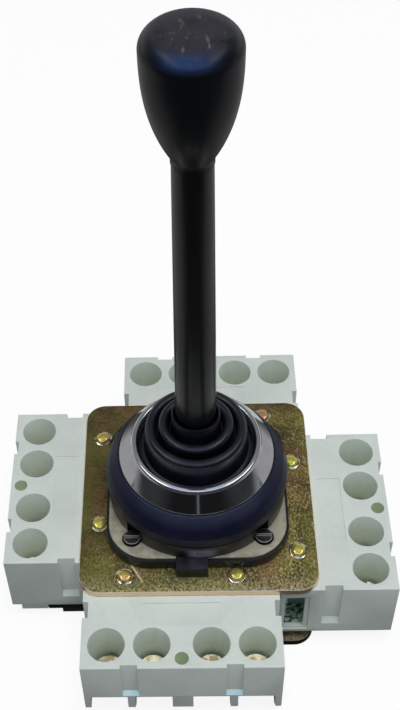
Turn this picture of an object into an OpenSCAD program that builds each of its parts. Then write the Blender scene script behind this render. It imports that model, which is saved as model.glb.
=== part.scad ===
// Industrial two-axis lever switch: four contact blocks between two square plates, a gimballed
// lever with a rubber bellows and a round panel-mounting head.
// Millimetres, +Z up along the lever, origin at the centre of the bottom plate's underside.

/* [Plates] */
// Side of the two square plates
plate_w = 46; // [45:0.5:48]
// Thickness of each plate
plate_t = 1.5; // [1:0.1:2]
// Corner radius of the plates
plate_corner_r = 4; // [2:0.5:5]
// Clear height between the plates, which the contact blocks fill
stack_gap = 18; // [17.6:0.1:20]
// Radius of the centre opening in the top plate
plate_bore_r = 10; // [9.8:0.1:11]
// Radius of a rivet's shank
rivet_r = 1; // [0.8:0.1:1.1]
// Radius of a rivet's domed head
rivet_head_r = 1.35; // [1.2:0.05:1.6]
// Height of a rivet's domed head
rivet_head_h = 0.7; // [0.4:0.1:1]
// Distance of a rivet from the lever axis, across the block
rivet_y = 19.4; // [19.2:0.1:19.8]

/* [Contact block] */
// Length of a block along the plate's edge
block_l = 37.5; // [36.5:0.1:38]
// Depth of a block, from its inner face to its outer face
block_d = 22.5; // [22:0.1:23.5]
// Distance of the block's inner face from the lever axis
block_in = 15.6; // [15.4:0.1:16]
// Gap between a block's end and the inner face of the next block
block_gap = 0.25; // [0.15:0.05:0.5]
// Thickness of the block's end and inner walls
wall = 1.1; // [0.9:0.05:1.3]
// Thickness of the block's roof
roof_t = 1.6; // [1.2:0.1:2.2]
// Distance from the lever axis to the line of the terminal wells
well_y = 33.17; // [32.8:0.1:33.6]
// Radius of a terminal well
well_r = 3.5; // [3.2:0.05:3.6]
// Pitch from an outer well to the inner well beside it
well_pitch = 8.51; // [8.2:0.05:8.7]
// Half the distance between the two inner wells
well_half = 5.53; // [5.2:0.05:5.8]
// Radius of the small marker hole between the inner wells
pilot_r = 1.3; // [0.8:0.1:1.5]
// Distance of the marker hole from the block's outer face
pilot_in = 2.05; // [1.8:0.05:2.6]
// Depth of the marker hole
pilot_depth = 9; // [3:0.5:10]
// Width of a wire entry
bay_w = 7.1; // [6.8:0.05:7.3]
// Depth of a wire entry, from the outer face
bay_d = 8.5; // [8:0.1:8.8]
// Height of a wire entry's roof above the bottom plate
bay_h = 6.75; // [6.5:0.05:7.2]
// Height of the inset skirt at the foot of the block
skirt_h = 2.55; // [1.8:0.05:3]
// Inset of the skirt at the block's ends
skirt_in = 0.5; // [0.2:0.05:0.7]
// Inset of the skirt and the black cover at the block's other end, which has the side window
skirt_far_in = 2.4; // [1.6:0.1:2.6]
// Inset of the foot rib at that end
rib_far_in = 5; // [3:0.2:7]
// Inset of the skirt at the block's outer face
skirt_back = 1.7; // [0.5:0.1:2]
// Width of the finger groove in each end of the block
groove_w = 3.4; // [2.6:0.1:3.8]
// Depth of the finger groove
groove_t = 1.05; // [0.6:0.05:1.2]
// Distance of the groove's outer side from the block's outer face
groove_out = 10.6; // [10.2:0.1:11]
// Height of the groove's ledge above the bottom plate
groove_ledge = 7.9; // [6:0.1:9]
// Width of a notch in the outer face
notch_w = 3.15; // [2.4:0.05:3.6]
// Depth of a notch in the outer face
notch_t = 0.75; // [0.4:0.05:1]
// Height of a notch's ledge above the bottom plate
notch_ledge = 9.6; // [9:0.1:11]
// Fall of the sloping foot of a groove or notch
ledge_fall = 0.9; // [0.4:0.1:1.2]
// Length of the shallow pad in the roof
pad_l = 14.8; // [10:0.2:16]
// Width of the shallow pad in the roof
pad_w = 4.6; // [3:0.1:5]
// Depth of the shallow pad in the roof
pad_t = 0.2; // [0.1:0.05:0.4]
// Length of the side window, from the block's inner wall outwards
window_l = 3.8; // [3:0.1:4.5]
// Height of the side window's sill above the bottom plate
window_sill = 3.9; // [3:0.1:5]
// Height of the lintel over the side window
window_head = 3.3; // [2:0.1:4]
// Width of the shallow frame round the side window
frame_w = 0.9; // [0.4:0.1:1.2]
// Depth of that frame
frame_t = 0.35; // [0.2:0.05:0.5]

/* [Block base] */
// Thickness of the black cover under a block
cover_t = 1.5; // [1.2:0.1:1.8]
// Depth of the black cover
cover_d = 15.4; // [14:0.1:15.8]
// Depth of the foot rib that stands beside the bottom plate
foot_rib_d = 4.8; // [3:0.1:5]
// Width of the ribs that the contact strips lie on
rib_w = 2; // [1.4:0.1:3]
// Gap between the bottom plate's edge and the foot rib
foot_rib_gap = 0.3; // [0.2:0.05:0.6]

/* [Contacts] */
// Thickness of the contact strips
strip_t = 0.5; // [0.4:0.05:0.6]
// Width of a terminal tongue
tongue_w = 5.6; // [5:0.1:6]
// Height of the terminal tongues above the bottom plate
tongue_z = 3; // [2.8:0.1:3.4]
// Radius of a contact rivet
dot_r = 1.1; // [0.8:0.1:1.2]
// Height of a contact rivet
dot_h = 0.6; // [0.4:0.05:0.7]
// Width of a contact strip
strip_w = 2.4; // [2:0.1:2.6]
// Gap between the plunger's stem and the strip beside it
stem_gap = 0.6; // [0.4:0.05:0.8]
// Gap between the bridge's end and the rivet boss beside it
bridge_gap = 0.6; // [0.3:0.05:0.8]
// Wall round a rivet's hole in the housing
boss_wall = 0.7; // [0.5:0.05:0.9]
// Thickness of the moving bridge
bridge_t = 0.8; // [0.6:0.1:1]
// Height of the moving bridge
bridge_h = 3; // [2.4:0.1:3.4]
// Side of the square clamp plate under a terminal screw
clamp_w = 6.2; // [5.6:0.1:6.4]
// Thickness of the clamp plate
clamp_t = 0.8; // [0.6:0.1:1]
// Reach of a tongue past its terminal screw's axis
tongue_past = 1.75; // [1.7:0.05:2]
// Radius of a terminal screw's head
screw_head_r = 2.8; // [2.4:0.1:3]
// Height of a terminal screw's head
screw_head_h = 2.5; // [2:0.1:2.8]
// Radius of a terminal screw's shank
screw_r = 1.6; // [1.3:0.05:1.75]
// Width of a terminal screw's slot
screw_slot_w = 0.8; // [0.6:0.05:1]

/* [Plungers] */
// Width of a plunger's tip plate
tip_w = 7.2; // [6.4:0.1:7.4]
// Height of a plunger's tip plate
tip_h = 6; // [5:0.1:6.4]
// Thickness of a plunger's tip plate
tip_t = 1.5; // [1.2:0.1:1.8]
// Side of a plunger's square stem
stem_w = 3.8; // [3:0.1:4]
// Width of the carriage that holds the bridge
carriage_w = 6.4; // [5:0.1:6.8]
// Thickness of the carriage
carriage_t = 1.8; // [1.2:0.1:2]
// Height of the carriage
carriage_h = 4.8; // [4:0.1:6]
// Wire radius of a plunger spring
plunger_wire_r = 0.25; // [0.2:0.05:0.3]

/* [Lever] */
// Height of the pivot above the bottom plate's underside
pivot_z = 26; // [25.8:0.1:26.5]
// Length from the pivot down to the middle of the foot cam
foot_arm = 12.4; // [12.3:0.02:12.42]
// Tilt of the lever to each side, in degrees
tilt = 15; // [10:0.5:15]
// Thickness of the gate plate that limits the tilt
gate_t = 1; // [0.8:0.1:1]
// Radius of the steel rod
rod_r = 2.5; // [2:0.1:2.6]
// Radius of the foot cam
foot_r = 7; // [6.6:0.1:7.1]
// Radius of the foot cam's rounded rim
foot_rim_r = 1.9; // [1.6:0.1:1.9]
// Radius of the hub that the rod passes through
hub_r = 4; // [3.8:0.05:4.2]
// Height of the hub
hub_h = 7; // [5:0.2:7.4]
// Outer radius of the gimbal ring
ring_out_r = 9; // [8.6:0.05:9.1]
// Inner radius of the gimbal ring
ring_in_r = 6; // [5.8:0.05:6.3]
// Height of the gimbal ring
ring_h = 4; // [3.4:0.1:4.4]
// Depth of the outer gimbal pins' seats in the head
pin_seat = 3; // [2:0.1:4]
// Radius of the gimbal pins
pin_r = 1; // [0.8:0.05:1.1]
// Radius of the sleeve at its lower end
sleeve_low_r = 4.0; // [3.8:0.02:4.05]
// Radius of the sleeve where the knob starts
sleeve_top_r = 3.29; // [3:0.05:3.6]
// Height of the knob's neck above the bottom plate's underside
knob_z = 105.8; // [85:0.2:130]

/* [Knob] */
// Height of the knob above its neck
knob_h = 23.2; // [20:0.2:28]
// Largest radius of the knob
knob_r = 7.52; // [6.5:0.1:9]
// Radius of the knob's neck
knob_neck_r = 3.42; // [3.36:0.02:4.2]
// Height of the straight neck
knob_neck_h = 1.3; // [0.5:0.1:4]
// Rise of the knob's domed top
knob_dome_h = 3.4; // [2:0.1:5]
// Fullness of the knob's belly: 1 is a straight cone
knob_full = 2.55; // [1.6:0.05:3.4]

/* [Head] */
// Gap between the square flange and the rivet heads beside it
flange_gap = 0.25; // [0.1:0.05:0.5]
// Corner radius of the flange
flange_corner_r = 8.5; // [8:0.1:9.5]
// Thickness of the flange
flange_t = 2.4; // [2:0.1:3]
// Thickness of the grey washer
washer_t = 0.5; // [0.4:0.05:0.8]
// Inset of the grey washer from the flange's edge
washer_in = 0.5; // [0.2:0.05:0.8]
// Width of the locating tab
tab_w = 6; // [4:0.1:8]
// Reach of the locating tab beyond the flange
tab_out = 2; // [1.2:0.1:2.4]
// Sideways offset of the locating tab
tab_shift = 1.2; // [0:0.1:3]
// Inset of the drum from the flange's edge
drum_in = 0.3; // [0.1:0.05:0.6]
// Inset of the drum's foot, round which the grey washer lies
drum_foot_in = 1.5; // [1:0.1:3]
// Depth to which the locating tab is rooted in the flange
tab_root = 4; // [3:0.2:5]
// Height of the drum above the washer
drum_h = 3.4; // [3:0.1:4]
// Distance of a head screw from the lever axis along X and along Y
head_screw_xy = 12.75; // [12.6:0.05:13]
// Radius of a head screw's head
head_screw_r = 1.6; // [1.4:0.1:2]
// Height of a head screw's head
head_screw_h = 1; // [0.8:0.1:1.4]
// Outer radius of the threaded neck
neck_r = 11; // [10.9:0.05:11]
// Bore radius of the head, in which the gimbal swings
cavity_r = 9.7; // [9.6:0.05:9.8]
// Height of the neck above the drum
neck_h = 8.9; // [8.6:0.05:9.2]
// Gap between the drum and the collar, where the panel goes
panel_gap = 0.3; // [0.2:0.05:0.8]
// Inset of the rubber collar's side from the flange's edge
collar_in = 0.05; // [0:0.05:0.6]
// Height of the collar
collar_h = 6.7; // [6:0.1:7]
// Height of the collar's straight side
collar_side_h = 2.6; // [1.5:0.1:3.4]
// Height of the shoulder between the collar's side and its sloping top
collar_shoulder_h = 4.3; // [3.6:0.1:5.4]
// Radius lost by the collar up to its shoulder
collar_shoulder_in = 0.8; // [0.4:0.05:1.2]
// Radius at the foot of the chrome bezel
bezel_r = 14.95; // [14:0.05:15.2]
// Radius of the bezel's lip
bezel_lip_r = 12.25; // [11.8:0.05:12.6]
// Height of the bezel
bezel_h = 4.2; // [3.8:0.05:4.4]
// Radius of the bezel's opening
bezel_bore_r = 11; // [10.8:0.05:11.2]

/* [Bellows] */
// Thickness of the rubber
rubber_t = 0.5; // [0.4:0.05:0.6]
// Outer radius of the clamped bead
bead_r = 10.8; // [10.5:0.05:10.85]
// Height of the clamped bead
bead_h = 1.2; // [0.8:0.1:1.4]
// Outer radius of the bellows' outer wall
bellows_r = 9.7; // [9.3:0.05:9.8]
// Height of the outer fold's middle above the bead
fold_z = 4.8; // [4:0.1:5.5]
// Rise of the inner fold over the outer fold
fold_rise = 1.2; // [0.6:0.1:1.6]
// Height of the grip around the lever, above the outer fold's middle
grip_h = 4.4; // [3.5:0.1:5]

/* [Centring spring] */
// Mean radius of the centring spring
spring_r = 4.4; // [4:0.1:5]
// Thickness of the centring spring's seat
spring_seat_h = 1.2; // [0.8:0.1:2]
// Wire radius of the centring spring
spring_wire_r = 0.4; // [0.3:0.05:0.5]

/* [Hidden] */
$fn = 64;
cut = 0.5;
running = 0.05;
clear = 0.3;
side_names = ["front", "right", "rear", "left"];
block_parts = ["housing", "block_base", "fixed_contacts", "clamps", "terminal_screws",
    "plunger", "bridge", "plunger_spring"];
core_nodes = ["bottom_plate", "top_plate", "rivets", "gate_plate", "spring_seat", "return_spring",
    "head_body", "panel_washer", "head_screws", "collar", "bezel", "boot",
    "gimbal_ring", "gimbal_pins", "hub", "lever_pin", "rod", "foot_cam", "sleeve", "knob"];

// Plates and blocks
block_shift = block_l / 2 - block_in + block_gap;
dot_dx = block_shift + stem_w / 2 + stem_gap + strip_w / 2;
chamber_half = dot_dx + dot_r + bridge_gap;
rivet_hole_r = rivet_r + 4 * running;
rivet_dx = chamber_half + boss_wall + rivet_hole_r;
stack_z = plate_t;
top_plate_z = stack_z + stack_gap;
deck_z = top_plate_z + plate_t;
block_out = block_in + block_d;
well_offsets = [-well_half - well_pitch, -well_half, well_half, well_half + well_pitch];
cover_z = stack_z + cover_t;
well_floor = stack_z + bay_h;
pocket_top = top_plate_z - roof_t;
window_z = [stack_z + window_sill, top_plate_z - window_head];
notch_dx = (well_half + well_half + well_pitch) / 2;
wall_in = block_in + wall;
end_pocket_in = rivet_dx + rivet_hole_r + boss_wall;
end_pocket_out = block_l / 2 - wall - 3 * running;
chamber_out = well_y - well_r - wall - clear - running;

// Lever travel
foot_z = pivot_z - foot_arm;
travel = foot_arm * tilt * PI / 180;
tip_y = foot_r + clear;
rod_bottom = foot_z - foot_rim_r + 2 * clear;
gate_z = top_plate_z - gate_t;
gate_half = (pivot_z - gate_z) * tan(tilt) / cos(tilt) + rod_r / pow(cos(tilt), 2) + clear;
gate_w = 2 * (block_in - clear);

// Contact levels, measured outwards from the lever axis
closed_strip_y = wall_in + 4 * running;
closed_dot_y = closed_strip_y + strip_t + dot_h;
bridge_y = closed_dot_y + clear + travel + dot_h;
open_dot_y = bridge_y + bridge_t + dot_h + travel + clear;
open_strip_y = open_dot_y + dot_h;
tongue_top = stack_z + tongue_z;
clamp_z = stack_z + bay_h - clear - 3 * running - clamp_t;
tongue_out = well_y + tongue_past;
strip_top = foot_z + bridge_h / 2;

// Head sizes and levels
flange_half = rivet_y - rivet_head_r - flange_gap;
drum_r = flange_half - drum_in;
drum_foot_r = flange_half - drum_foot_in;
flange_z = deck_z + flange_t;
drum_z = flange_z + washer_t;
shoulder_z = drum_z + drum_h;
neck_z = shoulder_z + neck_h;
collar_z = shoulder_z + panel_gap;
collar_r = flange_half - collar_in;
collar_top = collar_z + collar_h;
bezel_z = collar_top + 0.1;
bezel_top = bezel_z + bezel_h;
bead_z = neck_z + 0.05;
bead_top = bead_z + bead_h;
fold_mid = bead_top + fold_z;
grip_top = fold_mid + grip_h;
fold_r = 0.95;
fold_pitch = 2 * fold_r - rubber_t;
grip_in = sleeve_low_r + 0.1;

// Square outline with round corners, centred on the lever axis
module rounded_square(side, corner) {
    inner = side - 2 * corner;
    square([side, inner], center = true);
    square([inner, side], center = true);
    for (x = [-1, 1]) for (y = [-1, 1])
        translate([x * inner / 2, y * inner / 2]) circle(corner);
}

// Places its children at each of the eight rivets
module at_rivets() {
    for (side = [0 : 3]) for (dx = [-1, 1])
        rotate(side * 90) translate([dx * rivet_dx - block_shift, -rivet_y]) children();
}

// Places its children at each of the four head screws
module at_head_screws() {
    for (x = [-1, 1]) for (y = [-1, 1])
        translate([x * head_screw_xy, y * head_screw_xy]) children();
}

// Places its children at each terminal of a block
module at_terminals() {
    for (dx = well_offsets)
        translate([dx - block_shift, -well_y]) children();
}

// Box given by its span along X, its span outwards from the lever axis and its span in height
module span(x, out, z) {
    translate([x[0], -out[1], z[0]]) cube([x[1] - x[0], out[1] - out[0], z[1] - z[0]]);
}

// Box as in span, with X given as a middle and a width
module bar(mid, width, out, z) {
    span([mid - width / 2, mid + width / 2], out, z);
}

// Round wire wound along +Z
module coil(mean_r, wire_r, length, turns, sides = 6, steps = 14) {
    rings = turns * steps;
    rise = length - 2 * wire_r;
    points = [for (i = [0 : rings]) let (a = 360 * i / steps, z = wire_r + rise * i / rings)
        for (j = [0 : sides - 1]) let (b = 360 * j / sides, r = mean_r + wire_r * cos(b))
            [r * cos(a), r * sin(a), z + wire_r * sin(b)]];
    walls = [for (i = [0 : rings - 1]) for (j = [0 : sides - 1]) let (k = (j + 1) % sides)
        [i * sides + j, i * sides + k, (i + 1) * sides + k, (i + 1) * sides + j]];
    first = [for (j = [sides - 1 : -1 : 0]) j];
    last = [for (j = [0 : sides - 1]) rings * sides + j];
    polyhedron(points, concat([first], [for (w = walls) [w[3], w[2], w[1], w[0]]], [last]));
}

// ---- Plates ----

module bottom_plate() {
    color("darkgoldenrod") difference() {
        linear_extrude(plate_t) rounded_square(plate_w, plate_corner_r);
        translate([0, 0, -cut]) linear_extrude(plate_t + 2 * cut) at_rivets() circle(rivet_hole_r);
    }
}

module top_plate() {
    color("olive") difference() {
        translate([0, 0, top_plate_z]) linear_extrude(plate_t) rounded_square(plate_w, plate_corner_r);
        translate([0, 0, top_plate_z - cut]) linear_extrude(plate_t + 2 * cut) {
            circle(plate_bore_r);
            at_rivets() circle(rivet_hole_r);
            at_head_screws() circle(head_screw_r / 2 + running);
        }
    }
}

// Domed heads on the top plate and plain shanks through the blocks to the bottom plate
module rivets() {
    dome_r = (pow(rivet_head_r, 2) + pow(rivet_head_h, 2)) / (2 * rivet_head_h);
    color("goldenrod") at_rivets() {
        cylinder(r = rivet_r, h = deck_z + rivet_head_h / 2);
        intersection() {
            translate([0, 0, deck_z + rivet_head_h - dome_r]) sphere(dome_r);
            translate([0, 0, deck_z]) cylinder(r = rivet_head_r + cut, h = rivet_head_h + cut);
        }
    }
}

// Slippery plate with the square opening that limits the lever's tilt
module gate_plate() {
    color("ivory") difference() {
        translate([0, 0, gate_z + gate_t / 2]) cube([gate_w, gate_w, gate_t], center = true);
        translate([0, 0, gate_z + gate_t / 2])
            cube([2 * gate_half, 2 * gate_half, gate_t + 2 * cut], center = true);
    }
}

module spring_seat() {
    seat_r = spring_r + 3 * spring_wire_r;
    color("ivory") translate([0, 0, stack_z]) {
        cylinder(r = seat_r, h = spring_seat_h);
        cylinder(r = spring_r - spring_wire_r - clear, h = 2 * spring_seat_h);
    }
}

module return_spring() {
    low = stack_z + spring_seat_h;
    color("silver") translate([0, 0, low])
        coil(spring_r, spring_wire_r, foot_z - foot_rim_r - low, 5, steps = 18);
}

// ---- Contact blocks, drawn in front of the lever and turned to their side ----

// Cut from a face, open at the top, with a sloping foot. Drawn at x = 0, going into +X.
module finger_cut(width, depth, ledge) {
    translate([0, width / 2, 0]) rotate([90, 0, 0]) linear_extrude(width)
        polygon([[-cut, ledge - ledge_fall * (1 + cut / depth)], [depth, ledge],
            [depth, top_plate_z + cut], [-cut, top_plate_z + cut]]);
}

// Pockets that the contacts and the carriage lie in, open below
module housing_pockets() {
    z = [stack_z - cut, pocket_top];
    bar(-block_shift, 2 * chamber_half, [wall_in, chamber_out], z);
    for (end = [-1, 1]) {
        mid = end * (end_pocket_in + end_pocket_out) / 2 - block_shift;
        bar(mid, end_pocket_out - end_pocket_in, [wall_in, chamber_out], z);
        slot = end * (chamber_half + end_pocket_in) / 2 - block_shift;
        bar(slot, end_pocket_in - chamber_half + cut, [wall_in, closed_strip_y + strip_t + 2 * running], z);
    }
}

module housing(side) {
    ends = [-block_l / 2 - block_shift, block_l / 2 - block_shift];
    inset = [ends[0] + skirt_far_in, ends[1] - skirt_in];
    skirt_z = stack_z + skirt_h;
    color("gainsboro") rotate(side * 90) difference() {
        union() {
            span(ends, [block_in, block_out], [skirt_z, top_plate_z]);
            span(inset, [block_in, block_out - skirt_back], [stack_z, skirt_z]);
        }
        housing_pockets();
        // Room for the black cover and, outwards of it, the open wire entries
        span([ends[0] - cut, ends[1] + cut], [block_in - cut, block_in + cover_d], [stack_z - cut, cover_z]);
        for (dx = well_offsets) {
            bar(dx - block_shift, bay_w, [block_out - bay_d, block_out + cut], [stack_z - cut, well_floor]);
            bar(dx - block_shift, tongue_w + 2 * running, [chamber_out - cut, block_out - bay_d + cut],
                [stack_z - cut, tongue_top + 2 * running]);
        }
        // Terminal wells and the marker hole
        translate([0, 0, well_floor - cut]) at_terminals() cylinder(r = well_r, h = stack_gap);
        translate([-block_shift, -block_out + pilot_in, top_plate_z - pilot_depth])
            cylinder(r = pilot_r, h = pilot_depth + cut);
        // Finger grooves in the ends and notches in the outer face
        for (end = [0, 1])
            translate([ends[end], -block_out + groove_out + groove_w / 2, 0]) mirror([end, 0, 0])
                finger_cut(groove_w, groove_t, groove_ledge);
        for (dx = [-1, 1])
            translate([dx * notch_dx - block_shift, -block_out, 0]) rotate(90)
                finger_cut(notch_w, notch_t, notch_ledge);
        bar(-block_shift, pad_l, [well_y - well_r - pad_w - 2 * clear, well_y - well_r - 2 * clear],
            [top_plate_z - pad_t, top_plate_z + cut]);
        // Side window into the end pocket, with a shallow frame
        span([ends[0] - cut, ends[0] + wall + cut], [wall_in, wall_in + window_l], window_z);
        span([ends[0] - cut, ends[0] + frame_t], [wall_in - frame_w / 2, wall_in + window_l + frame_w],
            [window_z[0] - frame_w / 2, window_z[1] + frame_w]);
        // Relief for the cover's ribs
        for (dx = well_offsets)
            bar(dx - block_shift, rib_w + 4 * running,
                [rivet_y + rivet_hole_r - 2 * running, open_strip_y + running], [cover_z - cut, tongue_top]);
        // Guide for the plunger's stem, and the rivets' holes
        bar(0, stem_w + clear, [block_in - cut, wall_in + cut],
            [foot_z - (stem_w + clear) / 2, foot_z + (stem_w + clear) / 2]);
        for (dx = [-1, 1]) translate([dx * rivet_dx - block_shift, -rivet_y, 0])
            cylinder(r = rivet_hole_r, h = deck_z);
    }
}

// Black cover that closes the block below, with ribs under the strips and a foot beside the plate
module block_base(side) {
    ends = [-block_l / 2 - block_shift, block_l / 2 - block_shift - skirt_in];
    rib_in = plate_w / 2 + foot_rib_gap;
    color("#202020") rotate(side * 90) difference() {
        union() {
            span([ends[0] + skirt_far_in, ends[1]],
                [block_in + 2 * running, block_in + cover_d - 2 * running], [stack_z, cover_z]);
            span([ends[0] + rib_far_in, ends[1]], [rib_in, rib_in + foot_rib_d],
                [2 * running, stack_z + running]);
            for (dx = well_offsets)
                bar(dx - block_shift, rib_w, [rivet_y + rivet_hole_r, open_strip_y],
                    [cover_z - running, tongue_top - strip_t]);
        }
        for (dx = [-1, 1]) translate([dx * rivet_dx - block_shift, -rivet_y, 0])
            cylinder(r = rivet_hole_r, h = deck_z);
    }
}

// A tongue under each terminal screw. The outer two run along the block's ends to the contacts
// that the bridge leaves, and the inner two stand up at the contacts that it reaches.
module fixed_contacts(side) {
    tongue = [tongue_top - strip_t, tongue_top];
    upright = [tongue_top - strip_t, strip_top];
    outer_run = end_pocket_out - end_pocket_in - 2 * running;
    color("darkkhaki") rotate(side * 90) difference() {
        union() for (end = [-1, 1]) {
            inner = end * well_half - block_shift;
            outer = end * (well_half + well_pitch) - block_shift;
            dot = end * dot_dx - block_shift;
            run = end * (end_pocket_in + end_pocket_out) / 2 - block_shift;
            bar(inner, tongue_w, [open_strip_y, tongue_out], tongue);
            bar(dot, strip_w, [open_strip_y, open_strip_y + strip_t], upright);
            translate([dot, -open_dot_y, foot_z]) rotate([90, 0, 0]) cylinder(r = dot_r, h = dot_h + running);
            bar(outer, tongue_w - clear - 2 * running, [chamber_out - 4 * running, tongue_out], tongue);
            bar(run, outer_run, [closed_strip_y, chamber_out - 2 * running], tongue);
            bar((run + dot) / 2, abs(run - dot) + strip_w,
                [closed_strip_y, closed_strip_y + strip_t], upright);
            translate([dot, -closed_strip_y - strip_t + running, foot_z]) rotate([90, 0, 0])
                cylinder(r = dot_r, h = dot_h + running);
        }
        at_terminals() cylinder(r = screw_r + running, h = deck_z);
    }
}

module clamps(side) {
    color("lightsteelblue") rotate(side * 90) at_terminals() difference() {
        translate([0, 0, clamp_z + clamp_t / 2]) cube([clamp_w, clamp_w, clamp_t], center = true);
        cylinder(r = screw_r + running, h = deck_z);
    }
}

module terminal_screws(side) {
    head_z = clamp_z + clamp_t;
    shank_z = tongue_top - strip_t - 1;
    slot_depth = screw_head_h / 2;
    color("goldenrod") rotate(side * 90) at_terminals() difference() {
        union() {
            translate([0, 0, head_z]) cylinder(r = screw_head_r, h = screw_head_h);
            translate([0, 0, shank_z]) cylinder(r = screw_r, h = head_z - shank_z);
        }
        translate([0, 0, head_z + screw_head_h])
            cube([2 * screw_head_r + cut, screw_slot_w, 2 * slot_depth], center = true);
    }
}

// Tip plate, square stem and the carriage that holds the bridge
module plunger(side) {
    color("ivory") rotate(side * 90) {
        bar(0, tip_w, [tip_y, tip_y + tip_t], [foot_z - tip_h / 2, foot_z + tip_h / 2]);
        bar(0, stem_w, [tip_y + tip_t - running, bridge_y - carriage_t / 2],
            [foot_z - stem_w / 2, foot_z + stem_w / 2]);
        bar((stem_w - carriage_w) / 2 - stem_gap / 2, carriage_w, [bridge_y - carriage_t, bridge_y],
            [foot_z - carriage_h / 2, foot_z + carriage_h / 2]);
    }
}

module bridge(side) {
    color("darkkhaki") rotate(side * 90) {
        bar(-block_shift, 2 * (dot_dx + dot_r), [bridge_y, bridge_y + bridge_t],
            [foot_z - bridge_h / 2, foot_z + bridge_h / 2]);
        for (dx = [-1, 1])
            translate([dx * dot_dx - block_shift, -bridge_y + dot_h, foot_z]) rotate([90, 0, 0])
                cylinder(r = dot_r, h = bridge_t + 2 * dot_h);
    }
}

module plunger_spring(side) {
    start = tip_y + tip_t;
    mean_r = stem_w * sin(45) + plunger_wire_r + 4 * running;
    color("silver") rotate(side * 90) translate([0, -start, foot_z]) rotate([90, 0, 0])
        coil(mean_r, plunger_wire_r, block_in - start, 4, steps = 14);
}

// ---- Head ----

// Flange with a locating tab, drum with screw pockets, and the threaded neck
module head_body() {
    color("#181818") difference() {
        union() {
            translate([0, 0, deck_z]) linear_extrude(flange_t)
                rounded_square(2 * flange_half, flange_corner_r);
            bar(-tab_shift, tab_w, [flange_half - tab_root, flange_half + tab_out], [deck_z, drum_z]);
            translate([0, 0, flange_z - running]) cylinder(r = drum_foot_r, h = washer_t + 2 * running);
            translate([0, 0, drum_z]) cylinder(r = drum_r, h = drum_h);
            translate([0, 0, shoulder_z - running]) cylinder(r = neck_r, h = neck_h + running);
        }
        translate([0, 0, deck_z - cut]) cylinder(r = cavity_r, h = neck_z);
        at_head_screws() {
            translate([0, 0, flange_z]) cylinder(r = head_screw_r + clear, h = neck_h);
            translate([0, 0, deck_z - cut]) cylinder(r = head_screw_r / 2 + running, h = neck_h);
        }
        translate([0, 0, pivot_z]) rotate([0, 90, 0])
            cylinder(r = pin_r + running, h = 2 * (cavity_r + pin_seat), center = true);
    }
}

// Flat grey washer round the drum's foot, open where the tab passes
module panel_washer() {
    color("gray") difference() {
        translate([0, 0, flange_z]) linear_extrude(washer_t)
            rounded_square(2 * (flange_half - washer_in), flange_corner_r - washer_in);
        translate([0, 0, flange_z - cut]) cylinder(r = drum_foot_r + 2 * running, h = washer_t + 2 * cut);
        bar(-tab_shift, tab_w + 4 * running, [flange_half - tab_root - running, flange_half + tab_out],
            [flange_z - cut, drum_z + cut]);
        translate([0, 0, flange_z - cut]) at_head_screws()
            cylinder(r = head_screw_r + clear, h = washer_t + 2 * cut);
    }
}

module head_screws() {
    color("silver") at_head_screws() difference() {
        union() {
            translate([0, 0, flange_z]) cylinder(r = head_screw_r, h = head_screw_h);
            translate([0, 0, top_plate_z]) cylinder(r = head_screw_r / 2, h = flange_z - top_plate_z);
        }
        translate([0, 0, flange_z + head_screw_h]) cube([2 * head_screw_r + cut, 0.6, 1], center = true);
    }
}

module collar() {
    inner = neck_r + 0.2;
    foot_chamfer = 0.4;
    color("#10142a") rotate_extrude() polygon([
        [inner, collar_z], [collar_r - foot_chamfer, collar_z], [collar_r, collar_z + foot_chamfer],
        [collar_r, collar_z + collar_side_h], [collar_r - collar_shoulder_in, collar_z + collar_shoulder_h],
        [bezel_r + 0.25, collar_top], [inner, collar_top]]);
}

// Chrome ring nut: cone, rolled lip, threaded skirt and the shoulder that holds the bellows' bead
module bezel() {
    lip = 0.45;
    color("lightgray") rotate_extrude() {
        difference() {
            polygon([[neck_r + running, bezel_z], [bezel_r - 0.4, bezel_z], [bezel_r, bezel_z + 0.4],
                [bezel_lip_r + lip * 0.4, bezel_top - lip], [bezel_lip_r - lip, bezel_top],
                [bezel_bore_r + 0.3, bezel_top], [bezel_bore_r - 0.6, bead_top + 0.3],
                [bezel_bore_r - 0.6, bead_top + 0.05], [neck_r + running, bead_top + 0.05]]);
            square([neck_r + running, bead_top + 0.05]);
        }
        translate([bezel_lip_r - lip, bezel_top - lip]) circle(lip, $fn = 32);
    }
}

// Half of a round fold's cross-section: up for a crest, down for a valley
module fold(r, z, up) {
    intersection() {
        translate([r, z]) difference() {
            circle(fold_r, $fn = 40);
            circle(fold_r - rubber_t, $fn = 40);
        }
        translate([r - fold_r, up ? z : z - fold_r]) square([2 * fold_r, fold_r]);
    }
}

module boot_profile() {
    crest_1 = bellows_r - fold_r;
    valley_1 = crest_1 - fold_pitch;
    crest_2 = valley_1 - fold_pitch;
    low = fold_mid - fold_rise;
    high = fold_mid + fold_rise;
    // Bead, and the outer wall that leans in to the first crest
    translate([bellows_r - 1.2, bead_z]) square([bead_r - bellows_r + 1.2, bead_h]);
    polygon([[bellows_r - rubber_t + 0.3, bead_top - running], [bellows_r + 0.3, bead_top - running],
        [bellows_r, fold_mid], [bellows_r - rubber_t, fold_mid]]);
    fold(crest_1, fold_mid, true);
    translate([crest_1 - fold_r, low]) square([rubber_t, fold_mid - low]);
    fold(valley_1, low, false);
    translate([valley_1 - fold_r, low]) square([rubber_t, high - low]);
    fold(crest_2, high, true);
    // Inner leg of the second crest, which turns into the grip on the lever
    translate([crest_2 - fold_r, fold_mid]) square([rubber_t, high - fold_mid]);
    translate([grip_in, fold_mid]) square([crest_2 - fold_r + rubber_t - grip_in, rubber_t]);
    translate([grip_in, fold_mid]) square([rubber_t, grip_top - fold_mid]);
}

module boot() {
    color("#101010") rotate_extrude() boot_profile();
}

// ---- Gimbal and lever ----

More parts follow.
